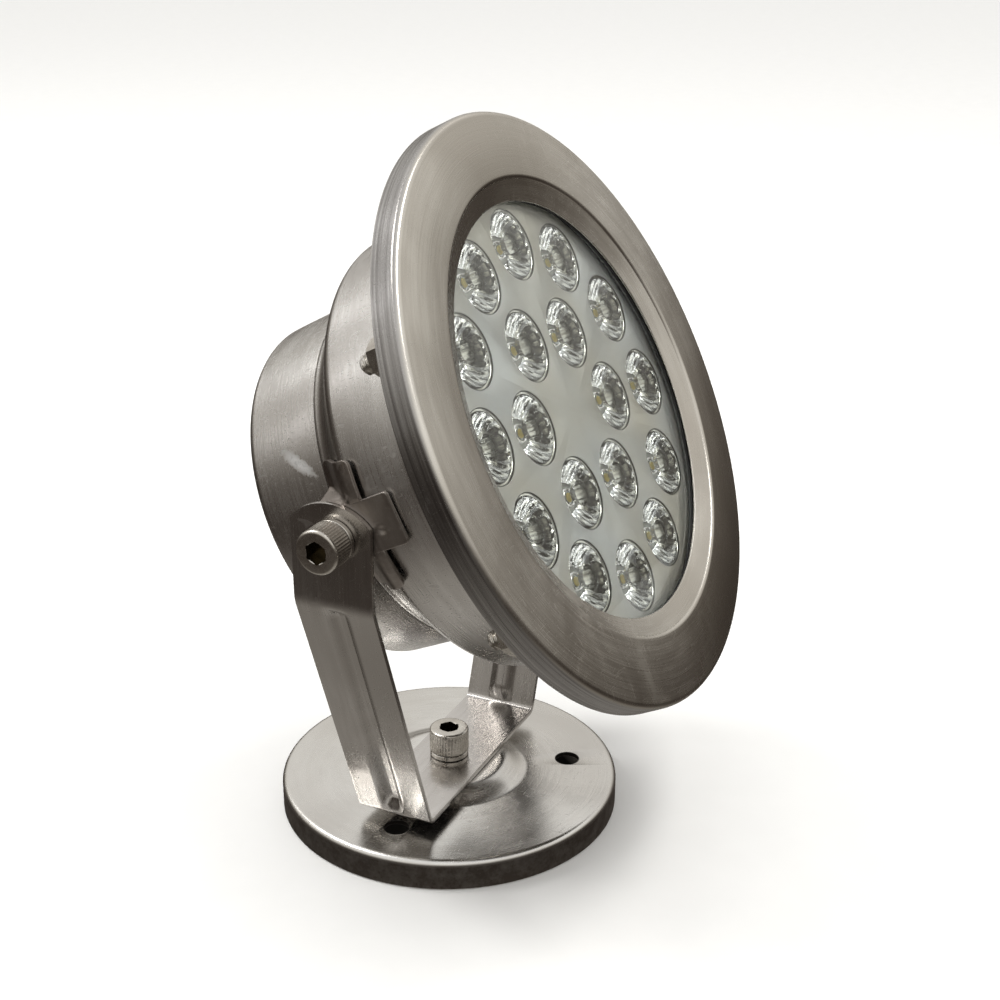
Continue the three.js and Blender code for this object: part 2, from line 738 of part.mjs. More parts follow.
// A strip bent into a hat, from the cup's floor up to the heat plate.
function chassisBracket() {
  const low = CUP_FLOOR + GAP + SHEET / 2;
  const high = HEAT_PLATE_REAR - GAP - SHEET / 2;
  const path = [
    [-CHASSIS_HALF_WIDTH - CHASSIS_FOOT, low],
    [-CHASSIS_HALF_WIDTH, low],
    [-CHASSIS_HALF_WIDTH, high],
    [CHASSIS_HALF_WIDTH, high],
    [CHASSIS_HALF_WIDTH, low],
    [CHASSIS_HALF_WIDTH + CHASSIS_FOOT, low],
  ].map(([x, forward]) => new THREE.Vector2(x, forward));
  const strip = bentStrip(path, SHEET, CHASSIS_STRIP).rotateX(Math.PI / 2);
  return named("chassis_bracket", strip, SATIN_ALUMINIUM);
}

function driverModule() {
  const { width, depth, height, bevel } = DRIVER;
  const outline = [
    [-width / 2 + bevel, -height / 2],
    [width / 2 - bevel, -height / 2],
    [width / 2, -height / 2 + bevel],
    [width / 2, height / 2 - bevel],
    [width / 2 - bevel, height / 2],
    [-width / 2 + bevel, height / 2],
    [-width / 2, height / 2 - bevel],
    [-width / 2, -height / 2 + bevel],
  ];
  const front = HEAT_PLATE_REAR - SHEET - 2 * GAP;
  const box = extruded(outline, depth)
    .rotateX(Math.PI / 2)
    .translate(0, depth - front, 0);
  return named("driver_module", box, BLACK_CASE);
}

// ---- Cable gland, in the middle of the cup's floor ----

function hexForward(flats, rear, front) {
  return hexPrism(flats, 0, front - rear)
    .rotateX(Math.PI / 2)
    .translate(0, -rear, 0);
}

function glandPieces() {
  const ringRoom = 2 * GLAND_ORING_SECTION;
  const hexFront = CUP_REAR - ringRoom - GAP;
  const hexRear = hexFront - GLAND_HEX_LENGTH;
  const bodyRear = hexRear - GLAND_NUT_LENGTH + 4;
  const threadFront = CUP_FLOOR + 6;
  const bore = forwardBar(GLAND_BORE_RADIUS, bodyRear - 1, threadFront + 1);
  const sealSeat = forwardBar(GLAND_BORE_RADIUS + 1.6, bodyRear - 1, hexRear);
  const body = cut(
    join(
      forwardBar(GLAND_THREAD_RADIUS - THREAD_CLEARANCE, bodyRear, threadFront),
      hexForward(GLAND_FLATS, hexRear, hexFront),
    ),
    bore,
    sealSeat,
  );
  const nutFront = hexRear - GAP;
  const nutRear = nutFront - GLAND_NUT_LENGTH;
  const nut = turnedForward(
    [
      [GLAND_BORE_RADIUS, nutRear],
      ...arc(GLAND_FLATS / 2 - 4, nutRear + 4, 4, 270, 360, 3),
      [GLAND_FLATS / 2, nutFront],
      [GLAND_THREAD_RADIUS, nutFront],
      [GLAND_THREAD_RADIUS, nutRear + 3],
      [GLAND_BORE_RADIUS, nutRear + 2],
    ],
    SMALL_ROUND,
  );
  const seal = turnedForward(
    rectangleProfile(3.2, GLAND_BORE_RADIUS + 1.6 - GAP, bodyRear, hexRear - 2 * GAP),
    16,
  );
  const oring = turnedForward(
    arc(
      GLAND_THREAD_RADIUS + GLAND_ORING_SECTION + GAP,
      CUP_REAR - ringRoom / 2 - GAP / 2,
      GLAND_ORING_SECTION - GAP / 2,
      0,
      300,
      5,
    ),
    SMALL_ROUND,
  );
  const locknut = hexNut(GLAND_FLATS, 4, GLAND_THREAD_RADIUS)
    .rotateX(Math.PI / 2)
    .translate(0, -(CUP_FLOOR + GAP), 0);
  return [
    named("gland_body", body, POLISHED),
    named("gland_nut", nut, POLISHED),
    named("gland_seal", seal, BLACK_RUBBER),
    named("gland_oring", oring, BLACK_RUBBER),
    named("gland_locknut", locknut, POLISHED),
  ];
}

// ---- Trunnion plates and pivot fasteners, drawn for the +X side ----

// A block of sheet between two bars; each bar is given by its corners [x, forward, up].
function blockOf(...corners) {
  return new ConvexGeometry(corners.map(([x, forward, up]) => new THREE.Vector3(x, -forward, up)));
}

// How far out the foot of an arm lies at a height on the shoulder, clear of the surface.
function shoulderX(forward, up) {
  const radius = shoulderRadius(forward) + 4 * GAP;
  return Math.sqrt(radius * radius - up * up);
}

// The upper or lower arm: a web that drops from the pad and a tab that lies on the shoulder.
// It is built in slices that follow the shoulder's profile.
function sideArm(sign) {
  const places = [
    TRUNNION_SIDE_REAR,
    ...SHOULDER.map(([, forward]) => forward).filter(
      (forward) => forward > TRUNNION_SIDE_REAR && forward < TRUNNION_SIDE_FRONT,
    ),
    TRUNNION_SIDE_FRONT,
  ];
  const sheetAt = (x, forward, up) => [
    [x, forward, sign * up],
    [x + TRUNNION_SHEET, forward, sign * up],
  ];
  const onShoulder = (forward, up) => sheetAt(shoulderX(forward, up), forward, up);
  const sections = places.map((forward) => {
    const foot = TRUNNION_SIDE_FOOT + (TRUNNION_SIDE_FRONT - forward) * TRUNNION_SIDE_FOOT_RISE;
    const corner = forward === TRUNNION_SIDE_FRONT ? TRUNNION_SIDE_CORNER : 0;
    return {
      web: [
        ...sheetAt(PAD_INNER, forward, TRUNNION_HALF - TRUNNION_SHEET),
        ...sheetAt(PAD_INNER, forward, TRUNNION_HALF),
        ...onShoulder(forward, foot),
        ...onShoulder(forward, foot + TRUNNION_SHEET),
      ],
      tab: [...onShoulder(forward, foot), ...onShoulder(forward, TRUNNION_SIDE_END - corner)],
    };
  });
  const slices = sections.slice(1).flatMap((section, i) => [
    blockOf(...sections[i].web, ...section.web),
    blockOf(...sections[i].tab, ...section.tab),
  ]);
  return join(...slices);
}

function rearArm() {
  const bar = (x, forward) =>
    [-TRUNNION_ARM_HALF, TRUNNION_ARM_HALF].flatMap((up) => [
      [x, forward, up],
      [x + TRUNNION_SHEET, forward, up],
    ]);
  const tabX = CUP_RADIUS + 2 * GAP;
  const padBar = [...bar(PAD_INNER, -TRUNNION_HALF), ...bar(PAD_INNER, TRUNNION_SHEET - TRUNNION_HALF)];
  const foot = [...bar(tabX, -TRUNNION_REAR_FOOT), ...bar(tabX, -TRUNNION_REAR_FOOT - TRUNNION_SHEET)];
  return join(
    blockOf(...padBar, ...foot),
    blockOf(...bar(tabX, -TRUNNION_REAR_FOOT), ...bar(tabX, -TRUNNION_REAR_END)),
  );
}

function trunnionPlate() {
  const padMiddle = (PAD_INNER + PAD_OUTER) / 2;
  const pad = new THREE.BoxGeometry(TRUNNION_SHEET, 2 * TRUNNION_HALF, 2 * TRUNNION_HALF).translate(
    padMiddle,
    0,
    0,
  );
  const frontLength = TRUNNION_FRONT_END;
  const frontArm = new THREE.BoxGeometry(TRUNNION_SHEET, frontLength, 2 * TRUNNION_ARM_HALF).translate(
    padMiddle,
    -frontLength / 2,
    0,
  );
  const hole = crossBar(SCREW_RADIUS + THREAD_CLEARANCE, 40).translate(padMiddle, 0, 0);
  return cut(join(pad, frontArm, sideArm(1), sideArm(-1), rearArm()), hole);
}

function pivotSide(side, sign) {
  const group = new THREE.Group();
  group.rotation.y = sign > 0 ? 0 : Math.PI;
  group.add(
    named(`pivot_screw_${side}`, socketScrew(PIVOT_SCREW_LENGTH).rotateY(Math.PI / 2), SCREW_STEEL)
      .translateX(PIVOT_SCREW_SEAT),
    named(`pivot_spring_washer_${side}`, springWasher().rotateY(Math.PI / 2), SCREW_STEEL)
      .translateX(EAR_OUTER + GAP),
    named(`clinch_nut_${side}`, clinchNut().rotateY(Math.PI / 2), SCREW_STEEL)
      .translateX(PAD_INNER - GAP - CLINCH_NUT_LENGTH),
  );
  return group;
}

function mirroredX(geometry) {
  const mirrored = geometry.clone().scale(-1, 1, 1);
  const index = mirrored.getIndex();
  for (let i = 0; i < index.count; i += 3) {
    const second = index.getX(i + 1);
    index.setX(i + 1, index.getX(i + 2));
    index.setX(i + 2, second);
  }
  mirrored.computeVertexNormals();
  return mirrored;
}

function trunnions() {
  const right = trunnionPlate();
  return [
    named("trunnion_plate_right", right, BRUSHED),
    named("trunnion_plate_left", mirroredX(right), BRUSHED),
  ];
}

// ---- The whole light ----

const lamp = new THREE.Group();
lamp.position.set(0, -PIVOT_FORWARD, PIVOT_HEIGHT);
lamp.rotation.x = -radians(HEAD_TILT);
lamp.add(
  rearCup(),
  frontShell(),
  faceRing(),
  ...ringFasteners(),
  ...windowPieces(),
  maskPlate(),
  ...lenses(),
  ledBoard(),
  heatPlate(),
  chassisBracket(),
  driverModule(),
  ...glandPieces(),
  ...trunnions(),
  pivotSide("right", 1),
  pivotSide("left", -1),
);

const poolLight = new THREE.Group();
poolLight.add(basePlate(), ...baseFasteners(), bracket(), lamp);

export default poolLight;
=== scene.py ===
"""Underwater pool light: its visual model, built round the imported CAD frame.

Lengths below are millimetres and are turned into metres where a mesh is made. Lamp pieces are
drawn in the lamp's own frame: local Z runs forward along the lamp's axis, from the pivot.
"""

import json
from math import asin, atan2, cos, degrees, exp, hypot, pi, radians, sin, sqrt, tan

import bmesh
import bpy
from mathutils import Matrix, Vector


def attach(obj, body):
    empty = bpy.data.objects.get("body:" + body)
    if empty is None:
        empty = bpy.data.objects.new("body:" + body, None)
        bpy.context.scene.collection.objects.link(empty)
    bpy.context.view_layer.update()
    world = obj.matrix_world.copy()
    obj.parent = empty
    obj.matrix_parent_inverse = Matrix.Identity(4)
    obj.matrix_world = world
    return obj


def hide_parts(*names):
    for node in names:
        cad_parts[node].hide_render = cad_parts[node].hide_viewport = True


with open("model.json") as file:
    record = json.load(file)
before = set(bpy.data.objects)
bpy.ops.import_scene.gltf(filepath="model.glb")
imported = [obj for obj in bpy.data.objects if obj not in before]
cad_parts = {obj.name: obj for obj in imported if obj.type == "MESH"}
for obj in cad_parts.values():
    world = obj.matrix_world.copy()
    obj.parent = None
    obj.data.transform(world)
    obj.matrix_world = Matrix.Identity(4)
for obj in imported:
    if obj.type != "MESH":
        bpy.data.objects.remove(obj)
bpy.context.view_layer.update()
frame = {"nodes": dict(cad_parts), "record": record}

# ---- Dimensions ----

MM = 0.001
CLOSE = 0.01  # near enough to be on a surface
SHEET = 1.5
HEAD_TILT = 27

BASE_RADIUS = 55.8
BASE_HEIGHT = 10
BASE_EDGE_RADIUS = 2
EMBOSS_TOP = 13.3
EMBOSS_TOP_RADIUS = 17
EMBOSS_FOOT_RADIUS = 26.5
FIXING_HOLE_RADIUS = 4
FIXING_CIRCLE_RADIUS = 40
FIXING_ANGLES = (182, 302, 62)

STRIP_MIDDLE = 14.25
BRACKET_WIDTH = 25
BRACKET_FORWARD = 0.7
BRACKET_FOOT_HALF = 38.7
BRACKET_FOOT_BEND = 2.5
BRACKET_KNEE_HEIGHT = 101
BRACKET_KNEE_BEND = 12
EAR_MIDDLE = 70.75
EAR_TOP_RADIUS = 16.5
EAR_TOP_HEIGHT = 131.8
RIB_WIDTH = 9.5
RIB_DEPTH = 2.9
RIB_FLAT_HALF = 0.9
RIB_FOOT_OFFSET = 1
RIB_KNEE_OFFSET = 0.5
RIB_END_LENGTH = 4.5

SCREW_RADIUS = 4
SCREW_HEAD_RADIUS = 6.5
SCREW_HEAD_HEIGHT = 8
SCREW_KEY_FLATS = 6
SCREW_KEY_DEPTH = 4
KNURL_STEPS = 96
KNURL_DEPTH = 0.22
BASE_SCREW_SEAT = 17
BASE_SCREW_LENGTH = 16
PIVOT_SCREW_SEAT = 73.5
PIVOT_SCREW_LENGTH = 9
WASHER_INNER = 4.3
WASHER_OUTER = 6.35
WASHER_THICKNESS = 1.6
BASE_WASHER_SEAT = 15.2
PIVOT_WASHER_SEAT = 71.7

CUP_RADIUS = 55
CUP_REAR_RADIUS = 54.2
CUP_REAR = -35.2
CUP_EDGE_RADIUS = 3.5
CUP_BORE_RADIUS = 8.2
LEAF_TURN = 68  # degrees from the top, to the left
LEAF_FORWARD = -16
LEAF_HALF_LENGTH = 7.2
LEAF_HALF_WIDTH = 1.9
SHELL_RADIUS = 68.2
SHOULDER_SLOPE = 48
SHOULDER_MIDDLE = (60, 0.5)
SHOULDER_FILLET = 8
SHOULDER_ROUND = 5
FLANGE_RADIUS = 86.5
FLANGE_FRONT = 42.3
NECK_LENGTH = 4.5

RING_RADIUS = 90
RING_SHEET = 1.1
RING_REAR = 42.8
RING_FRONT = 51.3
RING_EDGE_RADIUS = 2
RING_CROWN = 52.1
LIP_RADIUS = 70
LIP_ROUND = 1.4
OPENING_RADIUS = 63.2
OPENING_FRONT = 49.1

STUDS = 6
STUD_RADIUS = 3
STUD_PITCH = 1.25
STUD_CIRCLE_RADIUS = 80
STUD_REAR = 31.5
STUD_FRONT = 50
STUD_NUT_FLATS = 10
STUD_NUT_HEIGHT = 4.5
STUD_NUT_REAR = 36.1

GLASS_RADIUS = 75
GLASS_REAR = 43.2
GLASS_FRONT = 47.2

MASK_RADIUS = 66.3
MASK_FRONT = 42.6
MASK_SHEET = 1.4
OUTER_LENSES = 12
OUTER_LENS_CIRCLE = 51.6
INNER_LENSES = 6
INNER_LENS_CIRCLE = 25.9
FIRST_LENS_ANGLE = -7
LENS_RADIUS = 10.9
LENS_HOLE_RADIUS = 11.05
LENS_FRONT = 42.5
LENS_HEIGHT = 13
LENS_FOOT = LENS_FRONT - LENS_HEIGHT
LENS_FOOT_RADIUS = 4.6
LENS_RIM = LENS_FRONT - 1.2
LENS_WELL_RADIUS = 3.7
LENS_FLUTES = 18
LENS_FLUTE_DEPTH = 0.22

# The stage, in metres.
FLOOR_HALF = 12
FLOOR_DROP = 0.0002
BACKDROP_RADIUS = 9
BACKDROP_COVE = 4
BACKDROP_HEIGHT = 12

PLATE_SHEET = 1.2
PLATE_MIDDLE = 69.2
PLATE_PAD_HALF = 8
PLATE_ARM_HALF = 7.6
PLATE_FRONT_END = 20.7
PLATE_SIDE_REAR = -5.4
PLATE_SIDE_FRONT = 12.2
PLATE_SIDE_FOOT = 8.8
PLATE_SIDE_FOOT_RISE = 0.17
PLATE_SIDE_END = 19.1
PLATE_SIDE_CORNER = 2.1
PLATE_REAR_FOOT = 13
PLATE_REAR_END = 20.8
PLATE_CLEARANCE = 1

GLAND_FLATS = 20
GLAND_NUT_FRONT = -43.4
GLAND_NUT_REAR = -56.4
GLAND_BORE_RADIUS = 4.6
GLAND_THREAD_RADIUS = 8
GLAND_GROOVES = 24
GLAND_GROOVE_DEPTH = 0.5

JOINTS = {joint["name"]: joint for joint in frame["record"]["behaviour"]["joints"]}
PIVOT = Vector(JOINTS["head_tilt"]["pos_m"])
LAMP = Matrix.Translation(PIVOT) @ Matrix.Rotation(radians(90 - HEAD_TILT), 4, "X")
UPRIGHT = Matrix.Identity(4)


def on_circle(radius, angle):
    turn = radians(angle)
    return radius * cos(turn), radius * sin(turn)


def placed(name, data, matrix=UPRIGHT):
    """A new object in the scene."""
    thing = bpy.data.objects.new(name, data)
    thing.matrix_world = matrix
    bpy.context.scene.collection.objects.link(thing)
    return thing


FIXING_HOLES = [on_circle(FIXING_CIRCLE_RADIUS, angle) for angle in FIXING_ANGLES]

# ---- Camera ----

CAMERA_TARGET = Vector((0, -0.00053, 0.08))
CAMERA_DISTANCE = 0.50897
CAMERA_AZIMUTH = -63.163
CAMERA_ELEVATION = 25.013
CAMERA_TURN = -1.355  # about the camera's up
CAMERA_NOD = 1.184  # about the camera's right
CAMERA_ROLL = 0.581
CAMERA_LENS = 57.48
CAMERA_SHIFT = (0.01349, 0.04372)


def add_camera():
    azimuth = radians(CAMERA_AZIMUTH)
    elevation = radians(CAMERA_ELEVATION)
    level = cos(elevation)
    back = Vector((sin(azimuth) * level, -cos(azimuth) * level, sin(elevation)))
    forward = -back
    right = forward.cross(Vector((0, 0, 1))).normalized()
    up = right.cross(forward)
    turn = Matrix.Rotation(radians(CAMERA_TURN), 3, up)
    forward, right = turn @ forward, turn @ right
    nod = Matrix.Rotation(radians(CAMERA_NOD), 3, right)
    forward, up = nod @ forward, nod @ up
    roll = Matrix.Rotation(radians(CAMERA_ROLL), 3, forward)
    right, up = roll @ right, roll @ up
    data = bpy.data.cameras.new("camera")
    data.lens = CAMERA_LENS
    data.shift_x, data.shift_y = CAMERA_SHIFT
    data.clip_start = 0.01
    rotation = Matrix((right, up, -forward)).transposed().to_4x4()
    place = Matrix.Translation(CAMERA_TARGET + back * CAMERA_DISTANCE)
    bpy.context.scene.camera = placed("camera", data, place @ rotation)


# ---- Shader helpers ----


def fill_ramp(ramp, stops):
    """Sets a colour ramp from (place, grey or colour) stops in rising order."""
    elements = ramp.elements
    for place, _ in stops[1:-1]:
        elements.new(place)
    for element, (place, colour) in zip(elements, stops):
        element.position = place
        element.color = (colour,) * 3 + (1,) if isinstance(colour, (int, float)) else (*colour, 1)


class Shader:
    """A node material on one Principled BSDF, built up node by node."""

    def __init__(self, name, **principled):
        self.material = bpy.data.materials.new(name)
        self.material.use_nodes = True
        self.nodes = self.material.node_tree.nodes
        self.links = self.material.node_tree.links
        self.principled = self.nodes["Principled BSDF"]
        self.set(**principled)

    def add(self, kind, settings=None, **sockets):
        """A new node; s0, s1 and so on are sockets by number, and other keys are their names."""
        node = self.nodes.new(f"ShaderNode{kind}")
        for key, value in (settings or {}).items():
            setattr(node, key, value)
        for key, value in sockets.items():
            name = int(key[1:]) if key[1:].isdigit() else key.replace("_", " ")
            self.feed(node.inputs[name], value)
        return node

    def feed(self, socket, value):
        if isinstance(value, bpy.types.NodeSocket):
            self.links.new(value, socket)
        else:
            socket.default_value = value

    def math(self, operation, a, b=0):
        return self.add("Math", {"operation": operation}, s0=a, s1=b).outputs[0]

    def plus(self, a, b):
        return self.math("ADD", a, b)

    def times(self, a, b):
        return self.math("MULTIPLY", a, b)

    def vector(self, operation, a, b=(0, 0, 0)):
        """The outputs of a vector node: a vector and, for a length or a product, "Value"."""
        return self.add("VectorMath", {"operation": operation}, s0=a, s1=b).outputs

    def scaled(self, vector, scale):
        return self.vector("MULTIPLY", vector, scale)[0]

    def coordinates(self, kind="Object"):
        return self.add("TexCoord").outputs[kind]

    def noise(self, vector, scale, detail=2, roughness=0.5, distortion=0):
        sockets = {"Detail": detail, "Roughness": roughness, "Distortion": distortion}
        return self.add("TexNoise", Vector=vector, Scale=scale, **sockets).outputs[0]

    def ramp(self, value, *stops):
        """value mapped through (place, grey or colour) stops."""
        node = self.add("ValToRGB", Fac=value)
        fill_ramp(node.color_ramp, stops)
        return node.outputs[0]

    def span(self, value, low, high, new_low=0, new_high=1):
        """value moved from one range to another, and held inside it."""
        sockets = {"From_Min": low, "From_Max": high, "To_Min": new_low, "To_Max": new_high}
        return self.add("MapRange", Value=value, **sockets).outputs[0]

    def blend(self, amount, a, b):
        node = self.add("Mix", {"data_type": "RGBA"})
        self.feed(node.inputs[0], amount)
        self.feed(node.inputs[6], (*a, 1) if isinstance(a, tuple) else a)
        self.feed(node.inputs[7], (*b, 1) if isinstance(b, tuple) else b)
        return node.outputs[2]

    def bump(self, height, strength, distance, normal=None):
        node = self.add("Bump", Height=height, Strength=strength, Distance=distance)
        if normal is not None:
            self.feed(node.inputs["Normal"], normal)
        return node.outputs[0]

    def set(self, **sockets):
        for socket, value in sockets.items():
            self.feed(self.principled.inputs[socket.replace("_", " ")], value)

    def finish(self, tone, rough, surface=None):
        """The material, with its colour, roughness and relief."""
        self.set(Base_Color=tone, Roughness=rough)
        if surface is not None:
            self.set(Normal=surface)
        return self.material


SMALLEST_RADIUS = 1e-5
HEIGHT_SHARE = 0.83  # so that marks run round a wall as well as round a flat


def polar(shader, around, across):
    """Coordinates drawn out round local Z, as turning marks are, and the radius and height."""
    x, y, z = shader.add("SeparateXYZ", Vector=shader.coordinates()).outputs
    square = shader.plus(shader.times(x, x), shader.times(y, y))
    radius = shader.math("SQRT", square)
    safe = shader.math("MAXIMUM", radius, SMALLEST_RADIUS)
    depth = shader.plus(radius, shader.times(z, HEIGHT_SHARE))
    vector = shader.add(
        "CombineXYZ",
        X=shader.times(shader.math("DIVIDE", x, safe), around),
        Y=shader.times(shader.math("DIVIDE", y, safe), around),
        Z=shader.times(depth, across),
    ).outputs[0]
    return vector, radius, z


# How noise is stretched along each kind of brush grain, per metre.
TURNED_GRAIN = (2.2, 2600)
STRIP_GRAIN = (25, 2600, 1)
STRAIGHT_GRAIN = {"x": (40, 2200, 2200), "y": (2200, 40, 2200)}
COARSE_TURNED = (1.6, 1.6, 0.13)
COARSE_STRAIGHT = (1.6, 0.16, 0.16)
# Stretch, distortion, and the noise at which a scratch starts and is full.
SCRATCH_SETS = (((190, 1500, 700), 1.2, 0.66, 0.72), ((1100, 150, 260), 0.8, 0.68, 0.73))
SCRATCH_TONE = (0.8, 0.79, 0.77)


def steel(
    name, grain="turned", pale=(0.66, 0.64, 0.61), dark=(0.44, 0.41, 0.38),
    roughness=(0.2, 0.4), anisotropy=0.5, scratches=0.12, painted_light=None,
):
    """Stainless steel: brush grain, smudges, two sets of scratches and, where given, painted light
    and shade.
    """
    shader = Shader(name, Metallic=1, Anisotropic=anisotropy)
    place = shader.coordinates()
    if grain == "turned":
        along, radius, height = polar(shader, *TURNED_GRAIN)
    elif grain == "strip":
        along = shader.scaled(shader.coordinates("UV"), STRIP_GRAIN)
    else:
        along = shader.scaled(place, STRAIGHT_GRAIN[grain])
    brush = shader.noise(along, 1, detail=3, roughness=0.65)
    wide = shader.scaled(along, COARSE_TURNED if grain == "turned" else COARSE_STRAIGHT)
    coarse = shader.noise(wide, 1)
    smudge = shader.noise(place, 38, detail=4, roughness=0.6, distortion=0.6)
    stain = shader.noise(place, 16, detail=2, roughness=0.5)
    scratches_each_way = []
    for stretch, distortion, first, full in SCRATCH_SETS:
        strands = shader.noise(shader.scaled(place, stretch), 1, detail=1, distortion=distortion)
        scratches_each_way.append(shader.ramp(strands, (first, 0), (full, 1)))
    marks = shader.math("MAXIMUM", *scratches_each_way)
    tone = shader.blend(shader.span(stain, 0.35, 0.65), pale, dark)
    tone = shader.blend(shader.span(coarse, 0.35, 0.65, 0, 0.4), tone, dark)
    tone = shader.blend(shader.times(marks, scratches * 0.6), tone, SCRATCH_TONE)
    rough = shader.span(smudge, 0.3, 0.7, *roughness)
    rough = shader.plus(rough, shader.span(brush, 0.3, 0.7, -0.04, 0.06))
    rough = shader.plus(rough, shader.times(marks, scratches * 0.8))
    # Painted light and shade, where given: on the base, on the ring's wall and on the cup.
    if painted_light:
        tone, rough = painted_light(shader, tone, rough, radius, height)
    surface = shader.bump(brush, 0.1, 0.2 * MM)
    surface = shader.bump(shader.times(marks, -1), scratches * 0.15, 0.2 * MM, surface)
    dents = shader.noise(place, 11, detail=1)
    surface = shader.bump(dents, 0.12, 2 * MM, surface)
    if grain == "turned":
        round_axis = shader.add("Tangent", {"direction_type": "RADIAL", "axis": "Z"})
        shader.set(Tangent=round_axis.outputs[0])
    return shader.finish(tone, rough, surface)


def base_painted_shade(shader, tone, rough, radius, height):
    """The base's skirt is blotchy and rougher, darkened with a painted dark reflection of the
    ground, and its underside and hole walls are near black with painted shade.
    """
    place = shader.coordinates()
    wall = shader.span(radius, (BASE_RADIUS - 1) * MM, (BASE_RADIUS - 0.4) * MM)
    below = shader.span(height, (BASE_HEIGHT - 2.2) * MM, (BASE_HEIGHT - 1) * MM, 1, 0)
    mottle = shader.noise(place, 260, detail=5, roughness=0.7)
    patches = shader.span(mottle, 0.3, 0.6, 0.6, 1)
    # Painted dark reflection of the ground on the outer skirt, in blotches.
    skirt_dark_reflection = shader.times(shader.times(wall, below), patches)
    dark_reflection_tone = shader.blend(mottle, (0.05, 0.042, 0.037), (0.19, 0.165, 0.145))
    tone = shader.blend(skirt_dark_reflection, tone, dark_reflection_tone)
    rough = shader.plus(rough, shader.times(skirt_dark_reflection, 0.22))
    # Painted shade, near black, on the underside and on the fixing holes' walls.
    inner_wall = shader.span(radius, (BASE_RADIUS - 2.3) * MM, (BASE_RADIUS - 1.3) * MM, 1, 0)
    inside = shader.times(inner_wall, below)
    flat = shader.scaled(place, (1, 1, 0))
    hole = FIXING_HOLE_RADIUS * MM
    for x, y in FIXING_HOLES:
        gap = shader.vector("DISTANCE", flat, (x * MM, y * MM, 0))["Value"]
        hollow = shader.span(gap, hole, hole + 0.2 * MM, 1, 0)
        inside = shader.math("MAXIMUM", inside, hollow)
    painted_shade_tone = shader.blend(mottle, (0.008, 0.007, 0.006), (0.03, 0.026, 0.023))
    tone = shader.blend(inside, tone, painted_shade_tone)
    return tone, shader.math("MAXIMUM", rough, shader.times(inside, 0.7))


def ring_wall_shade(shader, tone, rough, radius, height):
    """The ring's wall carries painted shade: darker than its face and streaked round."""
    wall = shader.span(radius, (RING_RADIUS - 0.5) * MM, (RING_RADIUS - 0.05) * MM)
    streak = shader.noise(polar(shader, 1.2, 1500)[0], 1, detail=3, roughness=0.6)
    streak = shader.span(streak, 0.3, 0.7)
    wall_shade_tone = shader.blend(streak, (0.16, 0.15, 0.145), (0.36, 0.35, 0.34))
    return shader.blend(wall, tone, wall_shade_tone), rough


def cup_painted_glint(shader, tone, rough, radius, height):
    """A small leaf-shaped painted highlight, a white glint, on the cup's left side, where the steel
    is also rougher.
    """
    around = radians(LEAF_TURN)
    side, up = -CUP_RADIUS * sin(around) * MM, CUP_RADIUS * cos(around) * MM
    offset = shader.vector("SUBTRACT", shader.coordinates(), (side, up, LEAF_FORWARD * MM))[0]
    down = Vector((-cos(around), -sin(around), 0))
    ahead = Vector((0, 0, 1))
    spread = 0
    for axis, half in ((ahead + down, LEAF_HALF_LENGTH), (ahead - down, LEAF_HALF_WIDTH)):
        along = shader.vector("DOT_PRODUCT", offset, tuple(axis.normalized()))["Value"]
        share = shader.math("DIVIDE", along, half * MM)
        spread = shader.plus(shader.times(share, share), spread)
    glint_noise = shader.noise(shader.coordinates(), 900, detail=4, roughness=0.7)
    edge = shader.plus(spread, shader.span(glint_noise, 0.3, 0.7, -0.6, 0.6))
    leaf = shader.span(edge, 0.2, 1.2, 1, 0)
    bright = shader.blend(shader.span(glint_noise, 0.4, 0.6), (0.72, 0.72, 0.71), (1, 1, 1))
    tone = shader.blend(leaf, tone, bright)
    return tone, shader.plus(rough, shader.times(leaf, 0.45))


def satin_plate():
    """The lens mask's satin aluminium, slightly clouded."""
    shader = Shader("satin_plate", Metallic=0.55)
    place = shader.coordinates()
    fine = shader.noise(place, 1500, detail=3)
    cloud = shader.noise(place, 22, detail=2)
    tone = shader.blend(shader.span(cloud, 0.35, 0.65), (0.80, 0.81, 0.80), (0.77, 0.73, 0.64))
    rough = shader.span(fine, 0.2, 0.8, 0.40, 0.52)
    return shader.finish(tone, rough, shader.bump(fine, 0.05, 0.1 * MM))


def silvering():
    """The bright plating inside the lens holders, slightly uneven."""
    shader = Shader("silvering", Metallic=1)
    place = shader.coordinates()
    film = shader.noise(place, 160, detail=3)
    ripple = shader.noise(place, 420, detail=1)
    tone = shader.blend(film, (0.98, 0.97, 0.93), (0.92, 0.89, 0.81))
    rough = shader.span(film, 0.3, 0.7, 0.06, 0.2)
    return shader.finish(tone, rough, shader.bump(ripple, 0.12, 0.5 * MM))


def clear_plastic():
    """The lenses' moulded acrylic, with flow marks."""
    shader = Shader("clear_plastic", IOR=1.49, Transmission_Weight=1)
    place = shader.coordinates()
    haze = shader.noise(place, 900, detail=2)
    flow = shader.noise(place, 240, detail=1)
    rough = shader.span(haze, 0.4, 0.8, 0, 0.05)
    tone = shader.blend(haze, (1, 1, 0.99), (0.96, 0.97, 0.95))
    return shader.finish(tone, rough, shader.bump(flow, 0.05, 0.3 * MM))


def window_glass():
    """Clear toughened glass with a faint film of smears."""
    shader = Shader("window_glass", IOR=1.5, Transmission_Weight=1)
    smear = shader.noise(shader.coordinates(), 45, detail=3, distortion=0.8)
    rough = shader.span(smear, 0.45, 0.75, 0, 0.03)
    tone = shader.blend(smear, (0.97, 0.99, 0.98), (0.94, 0.97, 0.96))
    return shader.finish(tone, rough)


